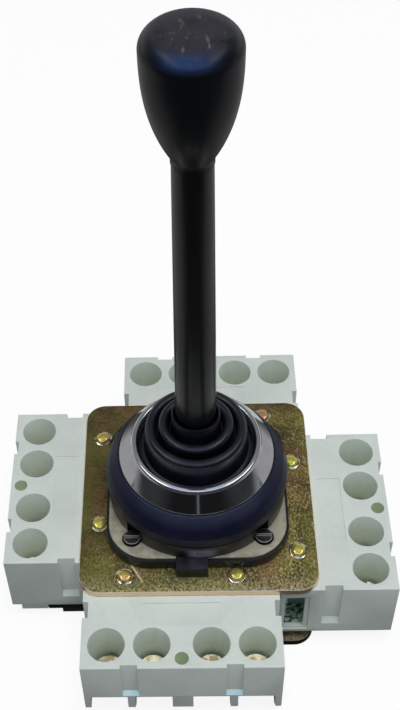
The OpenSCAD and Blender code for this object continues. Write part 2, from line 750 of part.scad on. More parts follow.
module gimbal_ring() {
    color("silver") difference() {
        translate([0, 0, pivot_z]) cylinder(r = ring_out_r, h = ring_h, center = true);
        translate([0, 0, pivot_z]) cylinder(r = ring_in_r, h = ring_h + 2 * cut, center = true);
        for (turn = [0, 90]) translate([0, 0, pivot_z]) rotate([0, 90, turn])
            cylinder(r = pin_r + running, h = 2 * (ring_out_r + cut), center = true);
    }
}

// The two outer pins, which carry the ring in the head
module gimbal_pins() {
    inner = ring_in_r + 0.4;
    color("gray") for (turn = [0, 180]) rotate(turn) translate([inner, 0, pivot_z]) rotate([0, 90, 0])
        cylinder(r = pin_r, h = cavity_r + pin_seat - clear - inner);
}

module hub() {
    color("darkgray") difference() {
        translate([0, 0, pivot_z]) cylinder(r = hub_r, h = hub_h, center = true);
        translate([0, 0, pivot_z]) cylinder(r = rod_r + running, h = hub_h + 2 * cut, center = true);
        translate([0, 0, pivot_z]) rotate([90, 0, 0])
            cylinder(r = pin_r + running, h = 3 * hub_r, center = true);
    }
}

// The pin across the hub and rod, whose ends turn in the gimbal ring
module lever_pin() {
    color("gray") translate([0, 0, pivot_z]) rotate([90, 0, 0])
        cylinder(r = pin_r, h = 2 * (ring_out_r - 0.5), center = true);
}

module rod() {
    color("silver") difference() {
        translate([0, 0, rod_bottom]) cylinder(r = rod_r, h = knob_z + knob_h * 0.6 - rod_bottom);
        translate([0, 0, pivot_z]) rotate([90, 0, 0])
            cylinder(r = pin_r + running, h = 3 * hub_r, center = true);
    }
}

// Round cam at the lever's foot, which pushes the plungers
module foot_cam() {
    color("ivory") difference() {
        translate([0, 0, foot_z]) rotate_extrude() {
            translate([foot_r - foot_rim_r, 0]) circle(foot_rim_r);
            translate([0, -foot_rim_r]) square([foot_r - foot_rim_r, 2 * foot_rim_r]);
        }
        translate([0, 0, rod_bottom - running]) cylinder(r = rod_r + running, h = foot_arm);
    }
}

module sleeve() {
    low = pivot_z + hub_h / 2;
    color("#14161c") difference() {
        translate([0, 0, low]) cylinder(r1 = sleeve_low_r, r2 = sleeve_top_r, h = knob_z - low);
        translate([0, 0, low - cut]) cylinder(r = rod_r + running, h = knob_z - low + 2 * cut);
    }
}

// Half outline of the knob: straight neck, belly and domed top
function knob_side(steps) = [for (i = [0 : steps]) let (t = i / steps)
    [knob_neck_r + (knob_r - knob_neck_r) * (1 - pow(1 - t, knob_full)),
     knob_neck_h + (knob_h - knob_dome_h - knob_neck_h) * t]];
function knob_top(steps) = [for (i = [1 : steps]) let (a = 90 * i / steps)
    [knob_r * pow(cos(a), 0.62), knob_h - knob_dome_h * (1 - sin(a))]];

module knob() {
    color("#14161c") difference() {
        translate([0, 0, knob_z]) rotate_extrude()
            polygon(concat([[0, 0], [knob_neck_r, 0]], knob_side(12), knob_top(8)));
        translate([0, 0, knob_z - cut]) cylinder(r = rod_r + running, h = knob_h * 0.6 + cut);
    }
}

bottom_plate();
top_plate();
rivets();
gate_plate();
spring_seat();
return_spring();
head_body();
panel_washer();
head_screws();
collar();
bezel();
boot();
gimbal_ring();
gimbal_pins();
hub();
lever_pin();
rod();
foot_cam();
sleeve();
knob();
for (side = [0 : 3]) {
    housing(side);
    block_base(side);
    fixed_contacts(side);
    clamps(side);
    terminal_screws(side);
    plunger(side);
    bridge(side);
    plunger_spring(side);
}
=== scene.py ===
"""Looks of a two-axis industrial joystick switch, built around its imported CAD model.

The CAD nodes give every place and size. This script gives them their finishes, replaces the
soft bellows and the pieces whose edges catch the light, and sets the stage.
"""

from __future__ import annotations

import logging
import math
from collections.abc import Callable, Iterable, Sequence
from dataclasses import dataclass, field
from enum import Enum

import bmesh
import bpy
from mathutils import Matrix, Vector


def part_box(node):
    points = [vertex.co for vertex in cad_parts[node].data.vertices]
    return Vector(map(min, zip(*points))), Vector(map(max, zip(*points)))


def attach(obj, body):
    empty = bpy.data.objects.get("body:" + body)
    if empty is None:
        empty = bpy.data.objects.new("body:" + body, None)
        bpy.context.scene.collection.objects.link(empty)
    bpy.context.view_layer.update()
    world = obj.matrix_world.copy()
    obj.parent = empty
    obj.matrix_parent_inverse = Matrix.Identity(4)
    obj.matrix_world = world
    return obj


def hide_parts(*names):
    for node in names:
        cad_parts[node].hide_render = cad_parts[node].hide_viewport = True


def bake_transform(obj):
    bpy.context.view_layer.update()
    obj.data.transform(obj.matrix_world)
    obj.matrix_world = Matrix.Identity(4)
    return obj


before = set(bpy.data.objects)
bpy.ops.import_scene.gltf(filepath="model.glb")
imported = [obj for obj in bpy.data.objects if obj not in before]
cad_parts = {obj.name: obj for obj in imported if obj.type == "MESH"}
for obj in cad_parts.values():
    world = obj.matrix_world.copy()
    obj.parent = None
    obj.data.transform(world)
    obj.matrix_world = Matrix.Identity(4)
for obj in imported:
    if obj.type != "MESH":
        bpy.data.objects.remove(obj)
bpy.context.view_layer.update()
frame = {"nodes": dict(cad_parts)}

LOG = logging.getLogger("joystick")
MM = 0.001
SIDES = ("front", "right", "rear", "left")

Colour = tuple[float, float, float]
Profile = list[tuple[float, float]]
Value = "Signal | float | Colour | Vector"


def linear(red: int, green: int, blue: int) -> Colour:
    """Turns a display colour into the linear colour that shaders work in.

    Args:
        red: Red from 0 to 255.
        green: Green from 0 to 255.
        blue: Blue from 0 to 255.

    Returns:
        The three linear channels.
    """
    def channel(level: int) -> float:
        """Linear level of one channel."""
        share = level / 255
        return share / 12.92 if share <= 0.04045 else ((share + 0.055) / 1.055) ** 2.4

    return channel(red), channel(green), channel(blue)


# ---- Shader maths ----


class Signal:
    """One output of a material's node. Arithmetic on it adds Math nodes."""

    def __init__(self, graph: Graph, socket: bpy.types.NodeSocket) -> None:
        """Wraps a node's output socket."""
        self.graph = graph
        self.socket = socket

    def _math(self, operation: str, *values: Value) -> Signal:
        """Adds a Math node on the given values."""
        return self.graph.add("ShaderNodeMath", {"operation": operation}, dict(enumerate(values)))

    def __add__(self, other: Value) -> Signal:
        """Sum."""
        return self._math("ADD", self, other)

    def __radd__(self, other: Value) -> Signal:
        """Sum, with the number first."""
        return self._math("ADD", other, self)

    def __sub__(self, other: Value) -> Signal:
        """Difference."""
        return self._math("SUBTRACT", self, other)

    def __rsub__(self, other: Value) -> Signal:
        """Difference, with the number first."""
        return self._math("SUBTRACT", other, self)

    def __mul__(self, other: Value) -> Signal:
        """Product."""
        return self._math("MULTIPLY", self, other)

    def __rmul__(self, other: Value) -> Signal:
        """Product, with the number first."""
        return self._math("MULTIPLY", other, self)

    def __abs__(self) -> Signal:
        """Size without the sign."""
        return self._math("ABSOLUTE", self)

    def step(self, low: float, high: float) -> Signal:
        """Runs smoothly from 0 at low to 1 at high, which may be under low."""
        settings = {"interpolation_type": "SMOOTHSTEP"}
        return self.graph.add("ShaderNodeMapRange", settings, {"Value": self, "From Min": low, "From Max": high})


class Graph:
    """The node tree of a material or of the sky, under construction."""

    def __init__(self, owner: bpy.types.Material | bpy.types.World, coordinates: str = "Object") -> None:
        """Empties the owner's tree.

        Args:
            owner: The material or the world.
            coordinates: The coordinates that patterns follow.
        """
        owner.use_nodes = True
        self.owner = owner
        self.tree = owner.node_tree
        self.tree.nodes.clear()
        self.place = self.add("ShaderNodeTexCoord", output=coordinates)

    def add(self, kind: str, settings: dict | None = None, inputs: dict | None = None,
            output: int | str = 0) -> Signal:
        """Adds one node.

        Args:
            kind: The node's type.
            settings: Properties of the node, set before its sockets.
            inputs: Values or signals by socket name or number.
            output: The output that is wanted, by name or number.

        Returns:
            The wanted output.
        """
        node = self.tree.nodes.new(kind)
        for key, value in (settings or {}).items():
            setattr(node, key, value)
        for key, value in (inputs or {}).items():
            self.feed(node.inputs[key], value)
        return Signal(self, node.outputs[output])

    def feed(self, socket: bpy.types.NodeSocket, value: Value) -> None:
        """Links a signal to a socket, or sets the socket's own value.

        Args:
            socket: The input.
            value: A signal, a number, a colour or a vector.
        """
        if isinstance(value, Signal):
            self.tree.links.new(value.socket, socket)
        elif isinstance(value, tuple) and len(value) == 3 and socket.type == "RGBA":
            socket.default_value = (*value, 1.0)
        else:
            socket.default_value = value

    def mix(self, share: Value, first: Value, second: Value) -> Signal:
        """Mixes two colours.

        Args:
            share: How much of the second colour there is, from 0 to 1.
            first: Colour at 0.
            second: Colour at 1.

        Returns:
            The mixed colour.
        """
        node = self.tree.nodes.new("ShaderNodeMix")
        node.data_type = "RGBA"
        for index, value in ((0, share), (6, first), (7, second)):
            self.feed(node.inputs[index], value)
        return Signal(self, node.outputs[2])

    def axis(self, letter: str) -> Signal:
        """One coordinate of the point on the object, in metres."""
        return self.add("ShaderNodeSeparateXYZ", None, {0: self.place}, letter)

    def upright(self) -> Signal:
        """How far the surface faces up or down, from 0 on a wall to 1 on a flat."""
        normal = self.add("ShaderNodeTexCoord", output="Normal")
        return abs(self.add("ShaderNodeSeparateXYZ", None, {0: normal}, "Z"))

    def turned(self, angle: float, scale: tuple[float, float, float]) -> Signal:
        """The point on the object, turned about the upright axis and then scaled."""
        return self.add("ShaderNodeMapping", None,
                        {"Vector": self.place, "Rotation": (0.0, 0.0, angle), "Scale": scale})

    def noise(self, size_mm: float, detail: float = 3.0, rough: float = 0.55,
              place: Signal | None = None) -> Signal:
        """Cloudy noise from 0 to 1, whose clouds are about size_mm across."""
        return self.add("ShaderNodeTexNoise", None, {
            "Vector": place or self.place, "Scale": 1 / (size_mm * MM), "Detail": detail, "Roughness": rough})

    def bump(self, height: Signal, strength: float, depth_mm: float) -> Signal:
        """Turns a height from 0 to 1 into a normal, for a depth in millimetres."""
        return self.add("ShaderNodeBump", None, {
            "Height": height, "Strength": strength, "Distance": depth_mm * MM})

    def surface(self, **inputs: Value) -> bpy.types.Material:
        """Ends the material in a Principled surface. In a socket's name, _ stands for a space."""
        named = {key.replace("_", " "): value for key, value in inputs.items()}
        return self.end(self.add("ShaderNodeBsdfPrincipled", None, named))

    def end(self, shader: Signal) -> bpy.types.Material | bpy.types.World:
        """Links a shader to the output.

        Args:
            shader: The shader.

        Returns:
            The finished material or world.
        """
        kind = "World" if isinstance(self.owner, bpy.types.World) else "Material"
        node = self.tree.nodes.new(f"ShaderNodeOutput{kind}")
        self.tree.links.new(shader.socket, node.inputs["Surface"])
        return self.owner


def material_graph(name: str) -> Graph:
    """Starts a new material and returns its empty graph."""
    return Graph(bpy.data.materials.new(name))


# ---- Finishes ----


@dataclass(frozen=True)
class MouldedPlastic:
    """Matt injection-moulded plastic with a faint flow mottle and a fine spark-eroded grain."""

    name: str
    colour: Colour
    shade: Colour
    roughness: float = 0.5
    gloss: float = 0.4
    mottle_mm: float = 9.0
    grain_mm: float = 0.22
    grain_depth_mm: float = 0.012

    def build(self) -> bpy.types.Material:
        """Returns the material."""
        graph = material_graph(self.name)
        flow = graph.noise(self.mottle_mm, 2.0)
        speck = graph.noise(1.1, 4.0, 0.6)
        colour = graph.mix((flow * 0.6 + speck * 0.4).step(0.35, 0.7), self.colour, self.shade)
        grain = graph.noise(self.grain_mm, 2.0)
        return graph.surface(Base_Color=colour, Roughness=self.roughness + (speck - 0.5) * 0.12,
                             Specular_IOR_Level=self.gloss,
                             Normal=graph.bump(grain, 0.6, self.grain_depth_mm))


@dataclass(frozen=True)
class ChromatePlate:
    """Yellow-chromated zinc: olive and gold speckle with rose-brown clouds, squiggles and scratches, painted
    lighter towards the front right, with a painted sheen along the front and painted highlight on the edges.
    """

    name: str
    dark: Colour = linear(58, 50, 26)
    olive: Colour = linear(98, 90, 44)
    gold: Colour = linear(168, 154, 92)
    rose: Colour = linear(128, 88, 68)
    green: Colour = linear(84, 96, 38)
    pale: Colour = linear(212, 196, 156)
    # Colours of the vertical sides (rim) and of the bevels (glint); on the top plate both are painted highlight,
    # paler than the face.
    rim: Colour = linear(238, 204, 170)
    glint: Colour = linear(255, 246, 220)
    scratch: tuple[tuple[float, float], tuple[float, float]] | None = None

    def build(self) -> bpy.types.Material:
        """Returns the material."""
        graph = material_graph(self.name)
        cloud = graph.noise(7.0, 4.0, 0.6)
        speck = graph.noise(0.6, 3.0, 0.65)
        grit = graph.noise(0.42, 2.0, 0.6, graph.turned(0.5, (1.0, 0.7, 1.0)))
        patch = graph.noise(9.0, 4.0, 0.7)
        tint = graph.noise(13.0, 2.0, 0.5)
        curl = graph.noise(1.3, 3.0, 0.6, graph.turned(0.9, (1.0, 0.6, 1.0)))
        # Painted light: `light` runs from 0 at the back left to 1 at the front right, and the gold and the pale
        # squiggles are painted stronger where it is high.
        across = (graph.axis("X") - graph.axis("Y") + (cloud - 0.5) * (46 * MM)) * (1 / MM)
        light = across.step(-28, 38)
        colour = graph.mix((speck * 0.4 + cloud * 0.6).step(0.34, 0.62), self.dark, self.olive)
        colour = graph.mix((grit * 0.6 + cloud * 0.4).step(0.45, 0.60) * (0.06 + light * 0.9), colour, self.gold)
        colour = graph.mix(tint.step(0.46, 0.62) * 0.45, colour, self.green)
        colour = graph.mix((patch * 0.7 + speck * 0.3).step(0.49, 0.62) * 0.6, colour, self.rose)
        colour = graph.mix((curl * 0.5 + grit * 0.5).step(0.52, 0.68) * (0.05 + light * 0.55), colour, self.pale)
        # Painted sheen: a pale band painted along the front edge of the plate.
        front = (graph.axis("Y") * (1 / MM) + cloud * 4).step(-15, -23)
        colour = graph.mix(front * (grit * 0.5 + speck * 0.5).step(0.38, 0.62) * 0.62, colour, self.pale)
        if self.scratch:
            colour = graph.mix(self.scratch_mask(graph), colour, self.pale)
        # Painted highlight: the bevels take the glint colour and the sides the rim colour, whatever the light.
        facing = graph.upright()
        flat = facing.step(0.86, 0.98)
        side = graph.mix(facing.step(0.1, 0.5) * (0.4 + curl * 1.0), self.rim, self.glint)
        return graph.surface(Base_Color=graph.mix(flat, side, colour), Metallic=0.9 - flat * 0.4,
                             Roughness=0.2 + flat * 0.14 + speck * 0.25,
                             Normal=graph.bump(speck * 0.6 + curl * 0.4, 0.6, 0.05))

    def scratch_mask(self, graph: Graph) -> Signal:
        """Mask of one long scratch down to the bare metal.

        Args:
            graph: The material graph.

        Returns:
            1 on the scratch, 0 elsewhere.
        """
        (x0, y0), (x1, y1) = self.scratch
        length = math.hypot(x1 - x0, y1 - y0)
        along_x, along_y = (x1 - x0) / length, (y1 - y0) / length
        x = graph.axis("X") - x0 * MM
        y = graph.axis("Y") - y0 * MM
        along = x * along_x + y * along_y
        across = abs(y * along_x - x * along_y + (graph.noise(1.4, 1.0) - 0.5) * 0.25 * MM)
        reach = along.step(-0.1 * MM, 0.3 * MM) * along.step((length + 0.1) * MM, (length - 0.6) * MM)
        return across.step(0.24 * MM, 0.1 * MM) * reach


@dataclass(frozen=True)
class Metal:
    """Bare or plated metal with slight tarnish and fine turning marks, and, if given, a painted highlight on its
    bevels.
    """

    name: str
    colour: Colour
    tarnish: Colour
    roughness: float = 0.25
    tarnish_share: float = 0.5
    tarnish_mm: float = 2.4
    metallic: float = 1.0
    mark_mm: float = 0.12
    mark_depth_mm: float = 0.004
    # Colour painted on the bevels as a highlight, if given.
    edge: Colour | None = None

    def build(self) -> bpy.types.Material:
        """Returns the material."""
        graph = material_graph(self.name)
        cloud = graph.noise(self.tarnish_mm, 4.0, 0.5)
        mark = graph.noise(self.mark_mm, 2.0, 0.5, graph.turned(0.0, (1.0, 1.0, 0.25)))
        colour = graph.mix(cloud.step(0.42, 0.6) * self.tarnish_share, self.colour, self.tarnish)
        # Painted highlight: the given colour on faces between flat and upright, that is the bevels.
        if self.edge:
            facing = graph.upright()
            colour = graph.mix(facing.step(0.97, 0.85) * facing.step(0.1, 0.3), colour, self.edge)
        return graph.surface(Base_Color=colour, Metallic=self.metallic,
                             Roughness=self.roughness + (cloud - 0.4) * 0.2,
                             Normal=graph.bump(mark, 0.4, self.mark_depth_mm))


@dataclass(frozen=True)
class Chrome:
    """Bright chromium plate with faint haze."""

    name: str
    colour: Colour = linear(214, 214, 218)
    haze_colour: Colour = linear(176, 172, 172)
    roughness: float = 0.05

    def build(self) -> bpy.types.Material:
        """Returns the material."""
        graph = material_graph(self.name)
        haze = graph.noise(3.0, 3.0, 0.6)
        ripple = graph.noise(7.0, 1.0, 0.4)
        return graph.surface(Base_Color=graph.mix(haze.step(0.4, 0.75) * 0.3, self.colour, self.haze_colour),
                             Metallic=1.0, Roughness=self.roughness + haze * 0.06,
                             Normal=graph.bump(ripple, 0.25, 0.05))


@dataclass(frozen=True)
class Rubber:
    """Dark moulded rubber with a dusty bloom that gathers in patches."""

    name: str
    colour: Colour
    bloom: Colour
    roughness: float = 0.42
    gloss: float = 0.3
    bloom_share: float = 0.6

    def build(self) -> bpy.types.Material:
        """Returns the material."""
        graph = material_graph(self.name)
        dust_and_sheen = graph.noise(4.0, 4.0, 0.62)
        grain = graph.noise(0.3, 2.0)
        colour = graph.mix(dust_and_sheen.step(0.42, 0.72) * self.bloom_share, self.colour, self.bloom)
        return graph.surface(Base_Color=colour, Roughness=self.roughness + (dust_and_sheen - 0.4) * 0.25,
                             Specular_IOR_Level=self.gloss, Normal=graph.bump(grain, 0.5, 0.015))


@dataclass(frozen=True)
class HeadPlastic:
    """Black plastic of the head, with a purple-grey sheen painted on the front of its drum."""

    name: str
    sheen_z: float
    colour: Colour = linear(10, 12, 16)
    shade: Colour = linear(20, 21, 29)
    # Colour of the painted sheen.
    sheen: Colour = linear(128, 118, 142)

    def build(self) -> bpy.types.Material:
        """Returns the material."""
        graph = material_graph(self.name)
        cloud = graph.noise(3.0, 4.0, 0.6)
        grain = graph.noise(0.25, 2.0)
        colour = graph.mix(cloud.step(0.35, 0.7), self.colour, self.shade)
        # Painted reflection: a purple-grey patch on the front of the drum, around sheen_z.
        width = abs(graph.axis("X") - 0.8 * MM).step(3.6 * MM, 1.2 * MM)
        reach = width * graph.axis("Y").step(-15 * MM, -16.5 * MM)
        height = abs(graph.axis("Z") - self.sheen_z).step(1.7 * MM, 0.5 * MM)
        colour = graph.mix(reach * height * (0.3 + cloud * 0.8), colour, self.sheen)
        return graph.surface(Base_Color=colour, Roughness=0.3 + (cloud - 0.5) * 0.2, Specular_IOR_Level=0.4,
                             Normal=graph.bump(grain, 0.5, 0.012))


@dataclass(frozen=True)
class CollarRubber:
    """Navy rubber of the collar with a random bloom, painted pale blue-grey towards its top as a painted sheen,
    most at the front.
    """

    name: str
    low_z: float
    high_z: float
    colour: Colour = linear(13, 16, 36)
    # Pale blue-grey of the painted sheen towards the top.
    dust_and_sheen: Colour = linear(46, 53, 70)
    bloom: Colour = linear(21, 20, 42)

    def build(self) -> bpy.types.Material:
        """Returns the material."""
        graph = material_graph(self.name)
        height = graph.axis("Z")
        cloud = graph.noise(5.0, 4.0, 0.6)
        grain = graph.noise(0.3, 2.0)
        # Painted reflection: the top of the collar is painted pale blue-grey, most at the front, broken up at
        # random.
        top = height.step(self.low_z + (self.high_z - self.low_z) * 0.62, self.high_z - 0.3 * MM)
        colour = graph.mix(cloud.step(0.4, 0.65) * 0.7, self.colour, self.bloom)
        front = graph.axis("Y").step(-4 * MM, -13 * MM)
        colour = graph.mix(top * (0.15 + front * 0.6) * (cloud * 0.8 + 0.4), colour, self.dust_and_sheen)
        return graph.surface(Base_Color=colour, Roughness=0.4 + (cloud - 0.5) * 0.3,
                             Specular_IOR_Level=0.2, Normal=graph.bump(grain, 0.5, 0.015))


@dataclass(frozen=True)
class HandledPlastic:
    """Black plastic of the knob, whose crown is worn matt and scuffed by hands, with a blue sheen painted on the
    front of its shoulder.
    """

    name: str
    crown_z: float
    colour: Colour = linear(12, 15, 20)
    worn: Colour = linear(46, 43, 49)
    scuff: Colour = linear(96, 89, 87)
    # Colour of the painted sheen on the shoulder.
    sheen: Colour = linear(34, 54, 92)
    gloss: float = 0.22

    def build(self) -> bpy.types.Material:
        """Returns the material."""
        graph = material_graph(self.name)
        height = graph.axis("Z")
        cloud = graph.noise(3.6, 4.0, 0.62)
        fine = graph.noise(0.5, 3.0, 0.7)
        stroke = graph.noise(0.75, 2.0, 0.6, graph.turned(0.5, (1.0, 0.3, 0.6)))
        crown = height.step(self.crown_z - 1.3 * MM, self.crown_z - 0.45 * MM)
        worn = crown * (cloud * 0.7 + fine * 0.3).step(0.3, 0.58)
        colour = graph.mix(worn * 0.85, self.colour, self.worn)
        colour = graph.mix(crown * (stroke * 0.6 + cloud * 0.4).step(0.57, 0.69) * 0.6, colour, self.scuff)
        # Painted reflection: a blue band on the front of the shoulder, just under the crown.
        band = height.step(self.crown_z - 3.2 * MM, self.crown_z - 1.6 * MM) * height.step(
            self.crown_z - 0.4 * MM, self.crown_z - 1.1 * MM)
        facing = graph.axis("Y").step(-2 * MM, -7 * MM) * abs(graph.axis("X") + 0.9 * MM).step(6.5 * MM, 0.5 * MM)
        colour = graph.mix(band * facing * (0.3 + stroke * 0.9), colour, self.sheen)
        return graph.surface(Base_Color=colour, Roughness=0.3 + worn * 0.3 + (fine - 0.5) * 0.1,
                             Specular_IOR_Level=self.gloss,
                             Normal=graph.bump(fine * 0.5 + stroke * 0.5, 0.5, 0.02))


class Finish(Enum):
    """The finishes on this switch."""

    BLOCK = MouldedPlastic("block_plastic", linear(199, 206, 201), linear(192, 199, 195))
    # Painted light: the block plastic made paler for the walls of the wells, standing in for light that reaches
    # down into them.
    WELL_PAINTED_LIGHT = MouldedPlastic("well_plastic_painted_light", linear(224, 234, 226), linear(212, 223, 214), 0.35)
    PILOT = MouldedPlastic("marker_plastic", linear(186, 202, 170), linear(178, 194, 162), 0.35)
    # Painted reflection: a pale sky blue on the sloping feet of the outer grooves, standing in for the sky seen in
    # them.
    LEDGE_PAINTED_GLINT = MouldedPlastic("ledge_painted_glint", linear(216, 242, 252), linear(190, 226, 242), 0.35)
    BLACK = MouldedPlastic("black_plastic", linear(10, 12, 16), linear(19, 20, 27), 0.34, 0.35)
    NYLON = MouldedPlastic("nylon", linear(226, 224, 208), linear(212, 208, 190), 0.45)
    SLEEVE = MouldedPlastic("sleeve_plastic", linear(7, 8, 12), linear(12, 13, 18), 0.24, 0.4, 14.0)
    CHROMATE = ChromatePlate("yellow_zinc", scratch=((-12.9, -17.0), (-10.5, -21.1)))
    # Painted light: the bottom plate's colours are mostly paler than the top plate's, to make up for the shade
    # under the blocks.
    DARK_CHROMATE = ChromatePlate("brown_zinc", linear(70, 60, 44), linear(112, 98, 70), linear(170, 152, 112),
                                  linear(120, 90, 78), linear(84, 84, 52), linear(190, 178, 150),
                                  linear(30, 30, 28), linear(80, 74, 66))
    CHROME = Chrome("chrome")
    BRASS = Metal("brass", linear(255, 246, 214), linear(140, 124, 76), 0.12, 0.8, 1.2, 0.3, 0.9, 0.12)
    # Painted light: both colours are paler than bronze so that the contacts read in the dark window, and the pale
    # patches are painted glints among green tarnish.
    CONTACT = Metal("contact_bronze_painted_glints", linear(206, 236, 214), linear(48, 80, 60), 0.2, 0.95, 0.9, 0.2)
    RIVET = Metal("rivet_brass", linear(216, 208, 104), linear(214, 150, 118), 0.24, 0.85, 14.0, 0.8)
    RIVET_LIP = Metal("rivet_lip", linear(250, 240, 220), linear(84, 70, 40), 0.08, 0.9, 1.3, 1.0)
    STEEL = Metal("steel", linear(190, 194, 198), linear(132, 132, 132), 0.26)
    # Painted shade and highlight: the head screws are near black to sit in the shade under the collar, with a pale
    # painted highlight on their bevels.
    DARK_STEEL = Metal("dark_steel_painted_shade", linear(15, 17, 21), linear(26, 28, 30), 0.45, metallic=0.1,
                       edge=linear(150, 152, 140))
    CLAMP = Metal("clamp_steel", linear(228, 246, 255), linear(200, 222, 238), 0.1, 0.5, 2.0, 0.15, 0.9, 0.12)
    GREY_ZINC = Metal("grey_zinc", linear(158, 154, 138), linear(128, 124, 110), 0.5, 0.7, metallic=0.2)
    BELLOWS = Rubber("bellows_rubber", linear(11, 13, 22), linear(27, 29, 44), 0.3, 0.5)


class FinishShelf:
    """Builds each finish once and hands it out."""

    def __init__(self) -> None:
        """Starts with no finish built."""
        self.built: dict[Finish, bpy.types.Material] = {}

    def get(self, finish: Finish) -> bpy.types.Material:
        """Returns a finish's material.

        Args:
            finish: The finish.

        Returns:
            Its material.
        """
        if finish not in self.built:
            self.built[finish] = finish.value.build()
        return self.built[finish]

    def dress(self, piece: bpy.types.Object, finish: Finish) -> bpy.types.Object:
        """Puts a finish on an object.

        Args:
            piece: The object.
            finish: The finish.

        Returns:
            The same object.
        """
        piece.data.materials.clear()
        piece.data.materials.append(self.get(finish))
        return piece


SHELF = FinishShelf()


# ---- Mesh tools ----


def new_object(name: str, mesh: bpy.types.Mesh) -> bpy.types.Object:
    """Puts a mesh in the scene, at the origin.

    Args:
        name: The object's name.
        mesh: Its mesh, in the model's own frame.

    Returns:
        The new object.
    """
    piece = bpy.data.objects.new(name, mesh)
    bpy.context.scene.collection.objects.link(piece)
    return piece


def smooth(mesh: bpy.types.Mesh, angle: float = 32.0) -> None:
    """Shades a mesh smooth, apart from edges sharper than an angle in degrees."""
    mesh.shade_smooth()
    mesh.set_sharp_from_angle(angle=math.radians(angle))


def bake(piece: bpy.types.Object) -> None:
    """Applies all of an object's modifiers.

    Args:
        piece: The object, whose mesh is replaced.
    """
    depsgraph = bpy.context.evaluated_depsgraph_get()
    mesh = bpy.data.meshes.new_from_object(piece.evaluated_get(depsgraph))
    piece.modifiers.clear()
    piece.data = mesh


def filleted(outline: Profile, radius: float | Sequence[float], steps: int = 5) -> Profile:
    """Rounds the corners of a closed outline.

    Args:
        outline: The corners.
        radius: The radius of every corner, or one for each.
        steps: Straight pieces in each round.

    Returns:
        The rounded outline.
    """
    count = len(outline)
    radii = [radius] * count if isinstance(radius, (int, float)) else list(radius)
    result: Profile = []
    for index, corner in enumerate(outline):
        here = Vector(corner)
        before = Vector(outline[index - 1]) - here
        after = Vector(outline[(index + 1) % count]) - here
        half = before.angle(after) / 2 if before.length and after.length else math.pi / 2
        reach = min(radii[index] / max(math.tan(half), 0.05), 0.48 * before.length, 0.48 * after.length)
        if reach < 1e-4:
            result.append(corner)
            continue
        start = here + before.normalized() * reach
        end = here + after.normalized() * reach
        for step in range(steps + 1):
            t = step / steps
            point = start * (1 - t) ** 2 + here * 2 * t * (1 - t) + end * t ** 2
            result.append((point.x, point.y))
    return result


def lathed(name: str, outline: Profile, segments: int = 128) -> bpy.types.Object:
    """Turns a closed outline about the lever's axis.

    Args:
        name: The object's name.
        outline: Radius and height of each point, in millimetres.
        segments: Straight pieces round the axis.

    Returns:
        The turned piece.
    """
    form = bmesh.new()
    rings = []
    for step in range(segments):
        angle = 2 * math.pi * step / segments
        rings.append([form.verts.new((r * MM * math.cos(angle), r * MM * math.sin(angle), z * MM))
                      for r, z in outline])
    count = len(outline)
    for step, ring in enumerate(rings):
        other = rings[(step + 1) % segments]
        for index in range(count):
            after = (index + 1) % count
            if outline[index][0] > 1e-6 or outline[after][0] > 1e-6:
                form.faces.new((ring[index], other[index], other[after], ring[after]))
    bmesh.ops.remove_doubles(form, verts=form.verts, dist=1e-7)
    bmesh.ops.recalc_face_normals(form, faces=form.faces)
    mesh = bpy.data.meshes.new(name)
    form.to_mesh(mesh)
    form.free()
    smooth(mesh)
    return new_object(name, mesh)


def edged_copy(nodes: dict[str, bpy.types.Object], node: str, width_mm: float,
               segments: int = 2) -> bpy.types.Object:
    """Copies a CAD node and rounds its sharp edges.

    Args:
        nodes: The CAD nodes.
        node: The node's name.
        width_mm: Width of the rounded edge.
        segments: Steps across the rounded edge.

    Returns:
        The copy, which stands for the node.
    """
    form = bmesh.new()
    form.from_mesh(nodes[node].data)
    bmesh.ops.remove_doubles(form, verts=form.verts, dist=2e-6)
    bmesh.ops.dissolve_limit(form, angle_limit=math.radians(1.0), verts=form.verts, edges=form.edges)
    mesh = bpy.data.meshes.new(f"{node}_edged")
    form.to_mesh(mesh)
    form.free()
    piece = new_object(f"{node}_edged", mesh)
    bevel = piece.modifiers.new("edge", "BEVEL")
    bevel.width = width_mm * MM
    bevel.segments = segments
    bevel.limit_method = "ANGLE"
    bevel.angle_limit = math.radians(35)
    bevel.harden_normals = False
    bake(piece)
    smooth(piece.data, 40)
    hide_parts(node)
    return piece


